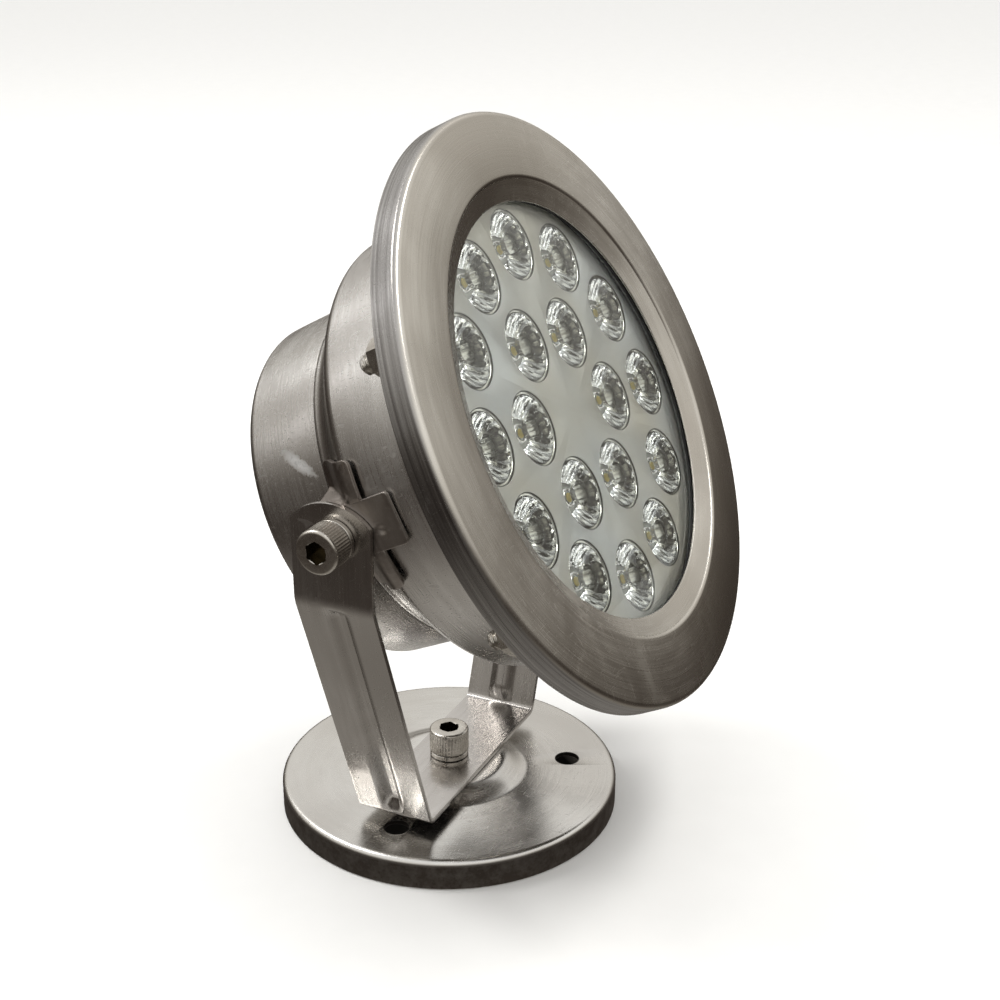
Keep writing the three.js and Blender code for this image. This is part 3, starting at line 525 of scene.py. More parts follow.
def grained(name, grain, detail, tones, roughness, relief, **principled):
    """A plain finish: one fine noise gives it its mottle, its sheen and its relief."""
    shader = Shader(name, **principled)
    grit = shader.noise(shader.coordinates(), grain, detail=detail)
    tone = shader.blend(grit, *tones)
    rough = shader.span(grit, 0.3, 0.7, *roughness)
    return shader.finish(tone, rough, shader.bump(grit, relief, 0.1 * MM))


def rubber(name, *tones):
    return grained(name, 900, 3, tones, (0.55, 0.75), 0.15, Specular_IOR_Level=0.3)


def fastener_steel(name, pale, dark):
    """Turned or forged stainless, finely pitted."""
    shader = Shader(name, Metallic=1)
    place = shader.coordinates()
    pits = shader.noise(place, 700, detail=4, roughness=0.7)
    tint = shader.noise(place, 120, detail=2)
    tone = shader.blend(shader.span(tint, 0.3, 0.7), pale, dark)
    rough = shader.span(pits, 0.3, 0.7, 0.2, 0.34)
    return shader.finish(tone, rough, shader.bump(pits, 0.06, 0.2 * MM))


def painted_board():
    tones = ((0.90, 0.90, 0.87), (0.96, 0.96, 0.94))
    return grained("painted_board", 800, 2, tones, (0.4, 0.55), 0.1, Metallic=0.5)


def phosphor():
    tones = ((0.85, 0.66, 0.12), (0.95, 0.8, 0.3))
    return grained("phosphor", 2500, 2, tones, (0.3, 0.5), 0.1, Metallic=0.4)


def moulded_case():
    tones = ((0.02, 0.02, 0.022), (0.05, 0.05, 0.052))
    return grained("moulded_case", 1200, 3, tones, (0.5, 0.65), 0.2)


SHELL_LOOK = {
    "pale": (0.66, 0.645, 0.625), "dark": (0.42, 0.40, 0.38),
    "roughness": (0.18, 0.32), "anisotropy": 0.75,
}
MATERIALS = {
    "base_steel": steel(
        "base_steel", pale=(0.65, 0.64, 0.615), dark=(0.52, 0.50, 0.47),
        roughness=(0.16, 0.32), anisotropy=0.3, painted_light=base_painted_shade,
    ),
    "bracket_steel": steel(
        "bracket_steel", grain="strip", pale=(0.52, 0.50, 0.48), dark=(0.37, 0.35, 0.33),
        roughness=(0.14, 0.30), anisotropy=0,
    ),
    "shell_steel": steel("shell_steel", **SHELL_LOOK),
    "trunnion_steel": steel(
        "trunnion_steel", grain="y", pale=(0.5, 0.47, 0.44), dark=(0.2, 0.17, 0.15), anisotropy=0,
    ),
    "ring_steel": steel(
        "ring_steel", pale=(0.68, 0.655, 0.605), dark=(0.43, 0.40, 0.355),
        roughness=(0.18, 0.32), anisotropy=0.75, scratches=0.06, painted_light=ring_wall_shade,
    ),
    "window_glass": window_glass(),
    "black_rubber": rubber("black_rubber", (0.012, 0.012, 0.012), (0.035, 0.034, 0.033)),
    "grey_silicone": rubber("grey_silicone", (0.40, 0.40, 0.38), (0.52, 0.52, 0.50)),
    "mask_aluminium": satin_plate(),
    "clear_lens": clear_plastic(),
    "circuit_board": painted_board(),
    "inner_aluminium": steel("inner_aluminium", grain="x", anisotropy=0),
    "driver_case": moulded_case(),
    "gland_brass": steel("gland_plating", roughness=(0.14, 0.3), anisotropy=0.3),
    "fastener_steel": fastener_steel("fastener_steel", (0.60, 0.575, 0.53), (0.40, 0.37, 0.33)),
    # Painted shade, near black and brownish, for the inside of the screw sockets.
    "socket_shade": fastener_steel("socket_shade", (0.05, 0.043, 0.032), (0.16, 0.13, 0.08)),
}

# ---- Mesh helpers ----


def arc(x, y, radius, start, end, steps):
    """Points round an arc, from one angle to another in degrees."""
    angles = [radians(start + (end - start) * i / steps) for i in range(steps + 1)]
    return [(x + radius * cos(a), y + radius * sin(a)) for a in angles]


def smooth(t):
    """0 before 0, 1 after 1, and an easy rise between them."""
    t = min(max(t, 0), 1)
    return t * t * (3 - 2 * t)


def compass(count):
    """The cosine and sine of evenly spaced turns."""
    turns = [2 * pi * i / count for i in range(count)]
    return [(cos(turn), sin(turn)) for turn in turns]


def quads(bm, a, b, closed=True):
    """Faces between two rows of vertices."""
    for i in range(len(a) if closed else len(a) - 1):
        j = (i + 1) % len(a)
        bm.faces.new((a[i], a[j], b[j], b[i]))


def cylindrical(vert):
    """A vertex's radius, turn and height about local Z."""
    x, y, z = vert.co
    return hypot(x, y) / MM, atan2(y, x), z / MM


def draw_in(vert, depth):
    """Moves a vertex towards local Z."""
    radius = cylindrical(vert)[0]
    vert.co.x *= 1 - depth / radius
    vert.co.y *= 1 - depth / radius


def spun(profile, segments=192):
    """A closed bmesh turned round local Z from (radius, along) points."""
    bm = bmesh.new()
    rings = []
    for radius, along in profile:
        around = compass(segments) if radius else [(0, 0)]
        wide = radius * MM
        rings.append([bm.verts.new((wide * c, wide * s, along * MM)) for c, s in around])
    for a, b in zip(rings, rings[1:] + rings[:1]):
        if len(a) == len(b) == segments:
            quads(bm, a, b)
        elif len(a) != len(b):
            for i in range(segments):
                j = (i + 1) % segments
                bm.faces.new((a[0], b[j], b[i]) if len(a) == 1 else (a[i], a[j], b[0]))
    bmesh.ops.recalc_face_normals(bm, faces=bm.faces)
    return bm


def prism(outline, low, high):
    """A closed bmesh from an outline in local XY, between two heights."""
    bm = bmesh.new()
    bottom = [bm.verts.new((x * MM, y * MM, low * MM)) for x, y in outline]
    top = [bm.verts.new((x * MM, y * MM, high * MM)) for x, y in outline]
    bm.faces.new(reversed(bottom))
    bm.faces.new(top)
    quads(bm, bottom, top)
    bmesh.ops.recalc_face_normals(bm, faces=bm.faces)
    return bm


def bar(radius, low, high, segments=64, at=(0, 0)):
    outline = arc(0, 0, radius, 0, 360, segments)[:-1]
    return prism([(at[0] + x, at[1] + y) for x, y in outline], low, high)


def hexagon(flats):
    """Corners of a hexagon, from its size across its flats."""
    return arc(0, 0, flats / sqrt(3), 0, 300, 5)


def to_mesh(bm, name, sharp=35):
    """A smooth mesh, with edges sharper than an angle in degrees left sharp."""
    mesh = bpy.data.meshes.new(name)
    bm.to_mesh(mesh)
    bm.free()
    mesh.shade_smooth()
    mesh.set_sharp_from_angle(angle=radians(sharp))
    return mesh


def temporary(bm):
    return placed("tool", to_mesh(bm, "tool"))


def settled(thing):
    """The mesh of an object with its modifiers applied; the object itself goes."""
    bpy.context.view_layer.update()
    graph = bpy.context.evaluated_depsgraph_get()
    mesh = bpy.data.meshes.new_from_object(thing.evaluated_get(graph), depsgraph=graph)
    bm = bmesh.new()
    bm.from_mesh(mesh)
    bpy.data.meshes.remove(mesh)
    bpy.data.objects.remove(thing)
    return bm


def carved(bm, cutters, operation="DIFFERENCE"):
    """bm with closed bmesh cutters taken away from it, or kept only inside them."""
    body = temporary(bm)
    tools = [temporary(cutter) for cutter in cutters]
    for tool in tools:
        modifier = body.modifiers.new("cut", "BOOLEAN")
        modifier.operation = operation
        modifier.solver = "EXACT"
        modifier.object = tool
    result = settled(body)
    for tool in tools:
        bpy.data.objects.remove(tool)
    return result


def modified(bm, kind, **settings):
    """bm with a modifier applied."""
    body = temporary(bm)
    modifier = body.modifiers.new(kind, kind)
    for key, value in settings.items():
        setattr(modifier, key, value)
    return settled(body)


def softened(bm, width, angle):
    """bm with its sharp edges rounded."""
    limit = radians(angle)
    return modified(
        bm, "BEVEL", width=width * MM, segments=2, limit_method="ANGLE", angle_limit=limit
    )


def piece(name, mesh, body, slot, nodes=(), matrix=UPRIGHT, material=None):
    """Puts a mesh in the scene as a piece that rides on a body and stands for CAD nodes."""
    if not mesh.materials:
        mesh.materials.append(material or MATERIALS[slot])
    thing = placed(name, mesh, matrix)
    bpy.context.view_layer.update()
    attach(thing, body)
    if nodes:
        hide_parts(*nodes)


def lamp_piece(name, bm, slot, nodes=(), material=None, sharp=35):
    """A piece on the head, drawn in the lamp's own frame."""
    piece(name, to_mesh(bm, name, sharp), "head", slot, nodes, LAMP, material)


def seated(height, turn=0, at=(0, 0)):
    """Moved up local Z, and aside, and turned about it by degrees."""
    place = Matrix.Translation((at[0] * MM, at[1] * MM, height * MM))
    return place @ Matrix.Rotation(radians(turn), 4, "Z")


def sheet(bm, rows):
    """Adds the faces of a grid of points in metres."""
    grid = [[bm.verts.new(point) for point in row] for row in rows]
    for a, b in zip(grid, grid[1:]):
        quads(bm, a, b, closed=False)


def thickened(bm, thickness):
    """A closed solid from a sheet, which stays its middle."""
    bmesh.ops.recalc_face_normals(bm, faces=bm.faces)
    return modified(bm, "SOLIDIFY", thickness=thickness * MM, offset=0, use_even_offset=True)


# ---- Base ----


def base_plate():
    def emboss(drop):
        steps = 14
        run = EMBOSS_FOOT_RADIUS - EMBOSS_TOP_RADIUS
        rise = EMBOSS_TOP - BASE_HEIGHT
        return [
            (EMBOSS_TOP_RADIUS + run * i / steps, EMBOSS_TOP - drop - rise * smooth(i / steps))
            for i in range(steps + 1)
        ]

    edge = BASE_RADIUS - BASE_EDGE_RADIUS
    low = BASE_HEIGHT - BASE_EDGE_RADIUS
    bore = SCREW_RADIUS + 0.5
    profile = [
        (bore, EMBOSS_TOP), *emboss(0), *arc(edge, low, BASE_EDGE_RADIUS, 90, 0, 8),
        (BASE_RADIUS, 0.3), (BASE_RADIUS - 0.3, 0), (BASE_RADIUS - SHEET, 0),
        *arc(edge, low, BASE_EDGE_RADIUS - SHEET, 0, 90, 4), *reversed(emboss(SHEET)),
        (bore, EMBOSS_TOP - SHEET),
    ]
    holes = [bar(FIXING_HOLE_RADIUS, 1, EMBOSS_TOP, 48, at) for at in FIXING_HOLES]
    bm = softened(carved(spun(profile), holes), 0.2, angle=50)
    piece("base_dish", to_mesh(bm, "base_dish"), "base", "base_steel", ["base_plate"])


# ---- Fasteners ----


def socket_screw_mesh(name, length):
    """A cap screw with a knurled head, upright with its seat at zero."""
    top = SCREW_HEAD_HEIGHT
    round_edge = 0.9
    knurl_low, knurl_high = 0.9, top - 1.4
    profile = [
        (0, -length), (SCREW_RADIUS - 0.8, -length), (SCREW_RADIUS, -length + 0.8),
        (SCREW_RADIUS, 0), (SCREW_HEAD_RADIUS - 0.3, 0), (SCREW_HEAD_RADIUS, 0.4),
        (SCREW_HEAD_RADIUS, knurl_low), (SCREW_HEAD_RADIUS, knurl_high),
        *arc(SCREW_HEAD_RADIUS - round_edge, top - round_edge, round_edge, 0, 90, 5), (0, top),
    ]
    bm = spun(profile, KNURL_STEPS)
    for vert in bm.verts:
        radius, turn, height = cylindrical(vert)
        on_wall = radius > SCREW_HEAD_RADIUS - CLOSE
        on_knurl = knurl_low - CLOSE < height < knurl_high + CLOSE
        if on_wall and on_knurl and round(turn / (2 * pi) * KNURL_STEPS) % 2:
            draw_in(vert, KNURL_DEPTH)
    floor_at = top - SCREW_KEY_DEPTH
    socket = prism(hexagon(SCREW_KEY_FLATS), floor_at, top + 1)
    mouth = spun([(0, top - 0.3), (2.9, top - 0.3), (3.5, top + 0.3), (0, top + 0.3)], 48)
    mesh = to_mesh(carved(bm, [socket, mouth]), name, sharp=30)
    # Faces inside the hex socket take the second material: painted shade in the recess.
    for finish in ("fastener_steel", "socket_shade"):
        mesh.materials.append(MATERIALS[finish])
    for face in mesh.polygons:
        x, y, z = face.center / MM
        if hypot(x, y) < SCREW_KEY_FLATS / 2 + 0.4 and floor_at - 0.1 < z < top - 0.35:
            face.material_index = 1
    return mesh


def capped(bm, rows, name, sharp=35):
    """The mesh of a solid made of rows of vertices, each a closed loop."""
    for a, b in zip(rows, rows[1:]):
        quads(bm, a, b)
    bm.faces.new(rows[0])
    bm.faces.new(rows[-1])
    bmesh.ops.recalc_face_normals(bm, faces=bm.faces)
    return to_mesh(bm, name, sharp)


def spring_washer_mesh(name):
    """A split ring whose ends stand slightly apart."""
    steps = 72
    gap = 8
    cut = 0.15
    near, far, high = WASHER_INNER, WASHER_OUTER, WASHER_THICKNESS
    under = [(near, cut), (near + cut, 0), (far - cut, 0), (far, cut)]
    section = under + [(r, high - z) for r, z in reversed(under)]
    bm = bmesh.new()
    rows = []
    for i in range(steps + 1):
        turn = radians(gap + (360 - 2 * gap) * i / steps)
        c, s = cos(turn), sin(turn)
        rows.append([bm.verts.new((r * MM * c, r * MM * s, z * MM)) for r, z in section])
    return capped(bm, rows, name)


def hex_nut_mesh(name, flats, height, bore):
    """A nut with its corners chamfered at both ends and a countersunk bore."""
    corner = flats / sqrt(3)
    fall = (corner - flats / 2) * 0.55
    face = flats / 2 - 0.1
    turned = [
        (0, 0), (face, 0), (corner, fall), (corner, height - fall), (face, height), (0, height),
    ]
    bm = carved(prism(hexagon(flats), 0, height), [spun(turned, 96)], "INTERSECT")
    sink = 1.4  # over a height of the same, partly clear of the nut
    hole = [
        (0, -1), (bore + sink, -1), (bore, sink - 1), (bore, height + 1 - sink),
        (bore + sink, height + 1), (0, height + 1),
    ]
    return to_mesh(carved(bm, [spun(hole, 48)]), name)


def thread_mesh(name, radius, length, pitch):
    """A stud from zero up to its length, with a helical thread."""
    around = 24
    per_pitch = 6
    depth = pitch * 0.6
    steps = int(length / pitch * per_pitch)
    bm = bmesh.new()
    rows = []
    for k in range(steps + 1):
        along = length * k / steps
        fade = smooth(along / 0.8) * smooth((length - along) / 0.4)
        row = []
        for i, (c, s) in enumerate(compass(around)):
            phase = (along / pitch - i / around) % 1
            groove = abs(2 * phase - 1)
            r = radius - depth * (1 - fade * groove)
            row.append(bm.verts.new((r * MM * c, r * MM * s, along * MM)))
        rows.append(row)
    return capped(bm, rows, name, sharp=60)


def fasteners():
    screw = socket_screw_mesh("cap_screw_long", BASE_SCREW_LENGTH)
    short = socket_screw_mesh("cap_screw_short", PIVOT_SCREW_LENGTH)
    washer = spring_washer_mesh("spring_washer")
    slot = "fastener_steel"
    piece("base_cap_screw", screw, "base", slot, ["base_screw"], seated(BASE_SCREW_SEAT, 20))
    rest = seated(BASE_WASHER_SEAT, 130)
    piece("base_split_washer", washer, "base", slot, ["base_spring_washer"], rest)
    for side, sign, key in (("right", 1, 14), ("left", -1, 3)):
        outward = Matrix.Translation(PIVOT) @ Matrix.Rotation(radians(90 * sign), 4, "Y")
        at = outward @ seated(PIVOT_SCREW_SEAT, key)
        piece(f"pivot_cap_screw_{side}", short, "head", slot, [f"pivot_screw_{side}"], at)
        at = outward @ seated(PIVOT_WASHER_SEAT, 100)
        node = f"pivot_spring_washer_{side}"
        piece(f"pivot_split_washer_{side}", washer, "head", slot, [node], at)
    stud = thread_mesh("ring_stud_thread", STUD_RADIUS - 0.02, STUD_FRONT - STUD_REAR, STUD_PITCH)
    nut = hex_nut_mesh("ring_hex_nut", STUD_NUT_FLATS, STUD_NUT_HEIGHT, STUD_RADIUS + 0.05)
    for i in range(STUDS):
        angle = 90 - 360 / STUDS * i
        at = on_circle(STUD_CIRCLE_RADIUS, angle)
        place = LAMP @ seated(STUD_REAR, 0, at)
        piece(f"stud_{i + 1}", stud, "head", slot, [f"ring_stud_{i + 1}"], place)
        place = LAMP @ seated(STUD_NUT_REAR, angle + 11 * i, at)
        piece(f"hex_nut_{i + 1}", nut, "head", slot, [f"ring_nut_{i + 1}"], place)


# ---- Bracket ----


def bent_path(corners, steps=10):
    """Mid-line points of a bent strip; each corner is (x, z, bend radius)."""
    path = []
    for i, (x, z, radius) in enumerate(corners):
        corner = Vector((x, z))
        if not radius:
            path.append(corner)
            continue
        back = (Vector(corners[i - 1][:2]) - corner).normalized()
        ahead = (Vector(corners[i + 1][:2]) - corner).normalized()
        half = back.angle(ahead) / 2
        start = corner + back * (radius / tan(half))
        centre = corner + (back + ahead).normalized() * (radius / sin(half))
        swing = start - centre
        total = pi - 2 * half
        sign = 1 if back.x * ahead.y - back.y * ahead.x < 0 else -1
        for k in range(steps + 1):
            path.append(centre + Matrix.Rotation(sign * total * k / steps, 2) @ swing)
    return path


def resampled(path, step):
    """The path with its long straight runs broken into short steps."""
    fine = [path[0]]
    for a, b in zip(path, path[1:]):
        count = max(1, round((b - a).length / step))
        fine += [a.lerp(b, (k + 1) / count) for k in range(count)]
    return fine


def rib_depth(across):
    """How deep the pressed rib, a flat-bottomed trough, is at a distance from the strip's middle."""
    half = RIB_WIDTH / 2
    return RIB_DEPTH * smooth((half - abs(across)) / (half - RIB_FLAT_HALF))


def bracket():
    lean = atan2(BRACKET_KNEE_HEIGHT - STRIP_MIDDLE, EAR_MIDDLE - BRACKET_FOOT_HALF)
    inward = Vector((-sin(lean), cos(lean)))
    right = [
        (0, STRIP_MIDDLE, 0), (BRACKET_FOOT_HALF, STRIP_MIDDLE, BRACKET_FOOT_BEND),
        (EAR_MIDDLE, BRACKET_KNEE_HEIGHT, BRACKET_KNEE_BEND), (EAR_MIDDLE, EAR_TOP_HEIGHT, 0),
    ]
    path = resampled(bent_path(right), 1.5)
    arc_centre = EAR_TOP_HEIGHT - EAR_TOP_RADIUS
    half = BRACKET_WIDTH / 2
    chord = arc_centre + sqrt(EAR_TOP_RADIUS**2 - half**2)
    path = [p for p in path if p.y < chord - 0.5]
    reach = asin(half / EAR_TOP_RADIUS)
    top_steps = 24
    path += [
        Vector((EAR_MIDDLE, arc_centre + EAR_TOP_RADIUS * cos(reach * (1 - k / top_steps))))
        for k in range(top_steps)
    ]
    columns = 100
    rows = []
    rib_top = BRACKET_KNEE_HEIGHT - RIB_KNEE_OFFSET
    for point in path:
        above = max(point.y - arc_centre, 0)
        width = half if point.y <= chord else sqrt(max(EAR_TOP_RADIUS**2 - above**2, 1))
        foot = smooth((point.y - STRIP_MIDDLE - RIB_FOOT_OFFSET) / RIB_END_LENGTH)
        head = smooth((rib_top - point.y) / RIB_END_LENGTH)
        row = []
        for k in range(columns + 1):
            across = width * (2 * k / columns - 1)
            dent = inward * rib_depth(across) * foot * head
            x, z = point.x + dent.x, point.y + dent.y
            row.append((x * MM, (across - BRACKET_FORWARD) * MM, z * MM))
        rows.append(row)
    mirrored = [[(-x, y, z) for x, y, z in row] for row in reversed(rows[1:])]
    bm = bmesh.new()
    sheet(bm, mirrored + rows)
    pivot_hole = bar(SCREW_RADIUS + 0.4, -80, 80)
    sideways = Matrix.Rotation(radians(90), 3, "Y")
    bmesh.ops.rotate(pivot_hole, cent=(0, 0, 0), matrix=sideways, verts=pivot_hole.verts)
    bmesh.ops.translate(pivot_hole, vec=PIVOT, verts=pivot_hole.verts)
    bm = carved(thickened(bm, SHEET), [pivot_hole, bar(SCREW_RADIUS + 0.5, 10, 20)])
    bm = softened(bm, 0.25, angle=50)
    layer = bm.loops.layers.uv.new("grain")
    for face in bm.faces:
        for loop in face.loops:
            x, y, z = loop.vert.co
            loop[layer].uv = (abs(x) + z, y)
    mesh = to_mesh(bm, "bracket_strap", sharp=40)
    piece("bracket_strap", mesh, "yoke", "bracket_steel", ["bracket"])


# ---- Lamp body ----


def shoulder(depth, steps=8):
    """The surface from the cup to the shell, or the same surface a depth inside it."""
    turn = radians(SHOULDER_SLOPE)

    def slope_forward(radius):
        return SHOULDER_MIDDLE[1] + (radius - SHOULDER_MIDDLE[0]) / tan(turn)

    fillet = CUP_RADIUS + SHOULDER_FILLET
    foot = slope_forward(fillet - SHOULDER_FILLET * cos(turn))
    fillet_at = foot - SHOULDER_FILLET * sin(turn)
    crown = SHELL_RADIUS - SHOULDER_ROUND
    top = slope_forward(crown + SHOULDER_ROUND * cos(turn))
    crown_at = top + SHOULDER_ROUND * sin(turn)
    return [
        *arc(fillet, fillet_at, SHOULDER_FILLET + depth, 180, 180 - SHOULDER_SLOPE, steps),
        *arc(crown, crown_at, SHOULDER_ROUND - depth, -SHOULDER_SLOPE, 0, steps),
    ]


SHOULDER = shoulder(0)
SHOULDER_REAR = SHOULDER[0][1]


def shoulder_radius(forward):
    """The housing's radius at a place along the lamp's axis."""
    if forward <= SHOULDER_REAR:
        return CUP_RADIUS
    for (r0, f0), (r1, f1) in zip(SHOULDER, SHOULDER[1:]):
        if forward <= f1:
            return r0 + (r1 - r0) * (forward - f0) / (f1 - f0)
    return SHELL_RADIUS


def lamp_shells():
    edge = CUP_REAR_RADIUS - CUP_EDGE_RADIUS
    edge_at = CUP_REAR + CUP_EDGE_RADIUS
    front = SHOULDER_REAR - 0.2
    cup = [
        (CUP_BORE_RADIUS, CUP_REAR), *arc(edge, edge_at, CUP_EDGE_RADIUS, 270, 360, 10),
        (CUP_RADIUS, front), (CUP_RADIUS - SHEET, front),
        *arc(edge, edge_at, CUP_EDGE_RADIUS - SHEET, 360, 270, 6),
        (CUP_BORE_RADIUS, CUP_REAR + SHEET),
    ]
    # The cup's steel carries a painted glint on its left side.
    glinting_steel = steel("cup_steel", painted_light=cup_painted_glint, **SHELL_LOOK)
    lamp_piece("cup_shell", spun(cup), "shell_steel", ["rear_cup"], glinting_steel)
    neck = CUP_RADIUS - SHEET - 0.2
    rear = SHOULDER_REAR - NECK_LENGTH
    shell = [
        (neck, rear), (neck, SHOULDER_REAR - 0.15), (CUP_RADIUS - 0.1, SHOULDER_REAR - 0.15),
        *SHOULDER, (SHELL_RADIUS, FLANGE_FRONT - SHEET - 1),
        *arc(SHELL_RADIUS + 1, FLANGE_FRONT - SHEET - 1, 1, 180, 90, 4),
        (FLANGE_RADIUS - 0.3, FLANGE_FRONT - SHEET), (FLANGE_RADIUS, FLANGE_FRONT - SHEET + 0.3),
        (FLANGE_RADIUS, FLANGE_FRONT), (SHELL_RADIUS - SHEET, FLANGE_FRONT),
        *reversed(shoulder(SHEET)), (neck - SHEET, SHOULDER_REAR + SHEET / 2), (neck - SHEET, rear),
    ]
    lamp_piece("lamp_shell", spun(shell), "shell_steel", ["front_shell"])


def face_ring():
    edge = RING_RADIUS - RING_EDGE_RADIUS
    edge_at = RING_FRONT - RING_EDGE_RADIUS
    lip = Vector((OPENING_RADIUS, OPENING_FRONT))
    crown = Vector((LIP_RADIUS, RING_CROWN))
    slope = (lip - crown).normalized()
    turn = degrees(atan2(slope.y, slope.x)) - 90
    steps = 16
    run, rise, bulge = LIP_RADIUS - edge, RING_CROWN - RING_FRONT, 0.35
    outer_face = [
        (edge + run * t, RING_FRONT + rise * t + bulge * sin(pi * t))
        for t in [k / steps for k in range(1, steps)]
    ]
    lip_end = 90 + (180 - turn) % 90
    lip_round = arc(LIP_RADIUS + 0.3, RING_CROWN - LIP_ROUND, LIP_ROUND, 90, lip_end, 8)
    front = [
        (RING_RADIUS, RING_REAR), *arc(edge, edge_at, RING_EDGE_RADIUS, 0, 90, 10), *outer_face,
        *lip_round, (OPENING_RADIUS + 0.2, OPENING_FRONT),
        *arc(OPENING_RADIUS + 0.35, OPENING_FRONT - 0.35, 0.35, 120, 250, 5),
    ]
    back = [
        (LIP_RADIUS - 0.2, RING_CROWN - 0.5 - RING_SHEET),
        (LIP_RADIUS + 1, RING_CROWN - RING_SHEET),
        *arc(edge, edge_at, RING_EDGE_RADIUS - RING_SHEET, 90, 0, 4),
        (RING_RADIUS - RING_SHEET, RING_REAR),
    ]
    lamp_piece("face_bezel", spun(front + back, 256), "ring_steel", ["face_ring"])


def window():
    edge = 0.5
    inner = GLASS_RADIUS - edge
    rear_half = [(0, GLASS_REAR), (inner, GLASS_REAR), (GLASS_RADIUS, GLASS_REAR + edge)]
    front_half = [(GLASS_RADIUS, GLASS_FRONT - edge), (inner, GLASS_FRONT), (0, GLASS_FRONT)]
    lamp_piece("window_disc", spun(rear_half + front_half), "window_glass", ["glass"])
    gaskets = (
        ("front_gasket", "black_rubber", 63.6, GLASS_FRONT + 0.05, GLASS_FRONT + 0.75),
        ("rear_gasket", "grey_silicone", 66.6, FLANGE_FRONT + 0.1, GLASS_REAR - 0.05),
    )
    for node, slot, inner, low, high in gaskets:
        section = [(inner, low), (GLASS_RADIUS, low), (GLASS_RADIUS, high), (inner, high)]
        lamp_piece(f"{node}_ring", spun(section), slot, [node])


# ---- Lenses and board ----


def lens_places():
    for count, circle in ((OUTER_LENSES, OUTER_LENS_CIRCLE), (INNER_LENSES, INNER_LENS_CIRCLE)):
        for i in range(count):
            yield on_circle(circle, FIRST_LENS_ANGLE - 360 / count * i)


def at_each_lens(bm):
    """A copy of bm at every lens's place, all in one bmesh."""
    one = to_mesh(bm, "one")
    copies = bmesh.new()
    for x, y in lens_places():
        start = len(copies.verts)
        copies.from_mesh(one)
        copies.verts.ensure_lookup_table()
        bmesh.ops.translate(copies, vec=(x * MM, y * MM, 0), verts=copies.verts[start:])
    bpy.data.meshes.remove(one)
    return copies


def lens_cone(outside=0):
    """The collimator's curved side, or a surface outside it, as (radius, along) points."""
    steps = 16
    foot = LENS_FOOT_RADIUS
    flare = LENS_RADIUS - 0.9 - foot
    rise = LENS_RIM - LENS_FOOT
    return [
        (foot + outside + flare * (1 - (1 - t) ** 1.6), LENS_FOOT + rise * t)
        for t in [k / steps for k in range(steps + 1)]
    ]


def lens_holders():
    """A thin silvered cup round the side of each collimator, all in one moulding."""
    cup = spun(lens_cone(0.25) + list(reversed(lens_cone(0.75))), 48)
    lamp_piece("lens_holders", at_each_lens(cup), "mask_aluminium", material=silvering())


def lens_mesh():
    def dome(radius, height, angles, at):
        turns = [radians(angle) for angle in angles]
        return [(radius * cos(turn), at + height * sin(turn)) for turn in turns]

    well = LENS_WELL_RADIUS
    well_floor = LENS_FRONT - 6.1
    profile = [
        (0, LENS_FOOT + 3.4), *dome(2.7, 1.2, (70, 45, 20, 0), LENS_FOOT + 2.2), (2.9, LENS_FOOT),
        *lens_cone(), (LENS_RADIUS, LENS_RIM + 0.2), (LENS_RADIUS, LENS_FRONT - 0.1),
        (LENS_RADIUS - 0.1, LENS_FRONT), *arc(well + 0.5, LENS_FRONT - 0.5, 0.5, 90, 180, 4),
        (well - 0.4, well_floor + 0.5), *arc(well - 0.9, well_floor + 0.5, 0.5, 0, -90, 4),
        *dome(2.6, 1.8, (0, 15, 30, 45, 60, 75), well_floor), (0, well_floor + 1.8),
    ]
    bm = spun([(radius, along - LENS_FRONT) for radius, along in profile], LENS_FLUTES * 8)
    for vert in bm.verts:
        radius, turn, height = cylindrical(vert)
        on_cone = smooth((-height - 1.3) / 0.8) * smooth((LENS_HEIGHT - 0.6 + height) / 1.5)
        if on_cone > 0 and radius >= 3.3:
            groove = LENS_FLUTE_DEPTH * on_cone * (1 - abs(cos(turn * LENS_FLUTES / 2)))
            draw_in(vert, groove)
    return to_mesh(bm, "collimator", sharp=25)


def lens_array():
    holes = [bar(LENS_HOLE_RADIUS, MASK_FRONT - 3, MASK_FRONT + 1, 64, at) for at in lens_places()]
    rear, edge = MASK_FRONT - MASK_SHEET, 0.3
    disc = [
        (0, rear), (MASK_RADIUS, rear), (MASK_RADIUS, MASK_FRONT - edge),
        (MASK_RADIUS - edge, MASK_FRONT), (0, MASK_FRONT),
    ]
    mask = softened(carved(spun(disc, 128), holes), 0.25, angle=50)
    lamp_piece("mask_disc", mask, "mask_aluminium", ["lens_mask"])
    lens = lens_mesh()
    for i, at in enumerate(lens_places()):
        place = LAMP @ seated(LENS_FRONT, 37 * i, at)
        piece(f"collimator_{i + 1:02d}", lens, "head", "clear_lens", [f"lens_{i + 1:02d}"], place)
    foot = LENS_FOOT + 1.7
    die = [(0, 0.02), (1.9, 0.02), (1.7, 0.35), (1, 0.55), (0, 0.6)]
    dies = at_each_lens(spun([(radius, foot + height) for radius, height in die], 24))
    lamp_piece("led_dies", dies, "circuit_board", material=phosphor())


# ---- Trunnion plates ----


def trunnion_patch(bm, length, half_start, half_end, corner, place):
    """One arm of the plate as a sheet; place(t, s) gives a point t along and s across."""
    rows = []
    columns = 32
    count = max(8, round(length / 0.5))
    for k in range(count + 1):
        t = length * k / count
        half = half_start + (half_end - half_start) * smooth(t / 1.5)
        over = t - (length - corner)
        if over > 0:
            half -= corner - sqrt(max(corner**2 - over**2, 0.01))
        rows.append([place(t, half * (2 * i / columns - 1)) for i in range(columns + 1)])
    sheet(bm, rows)


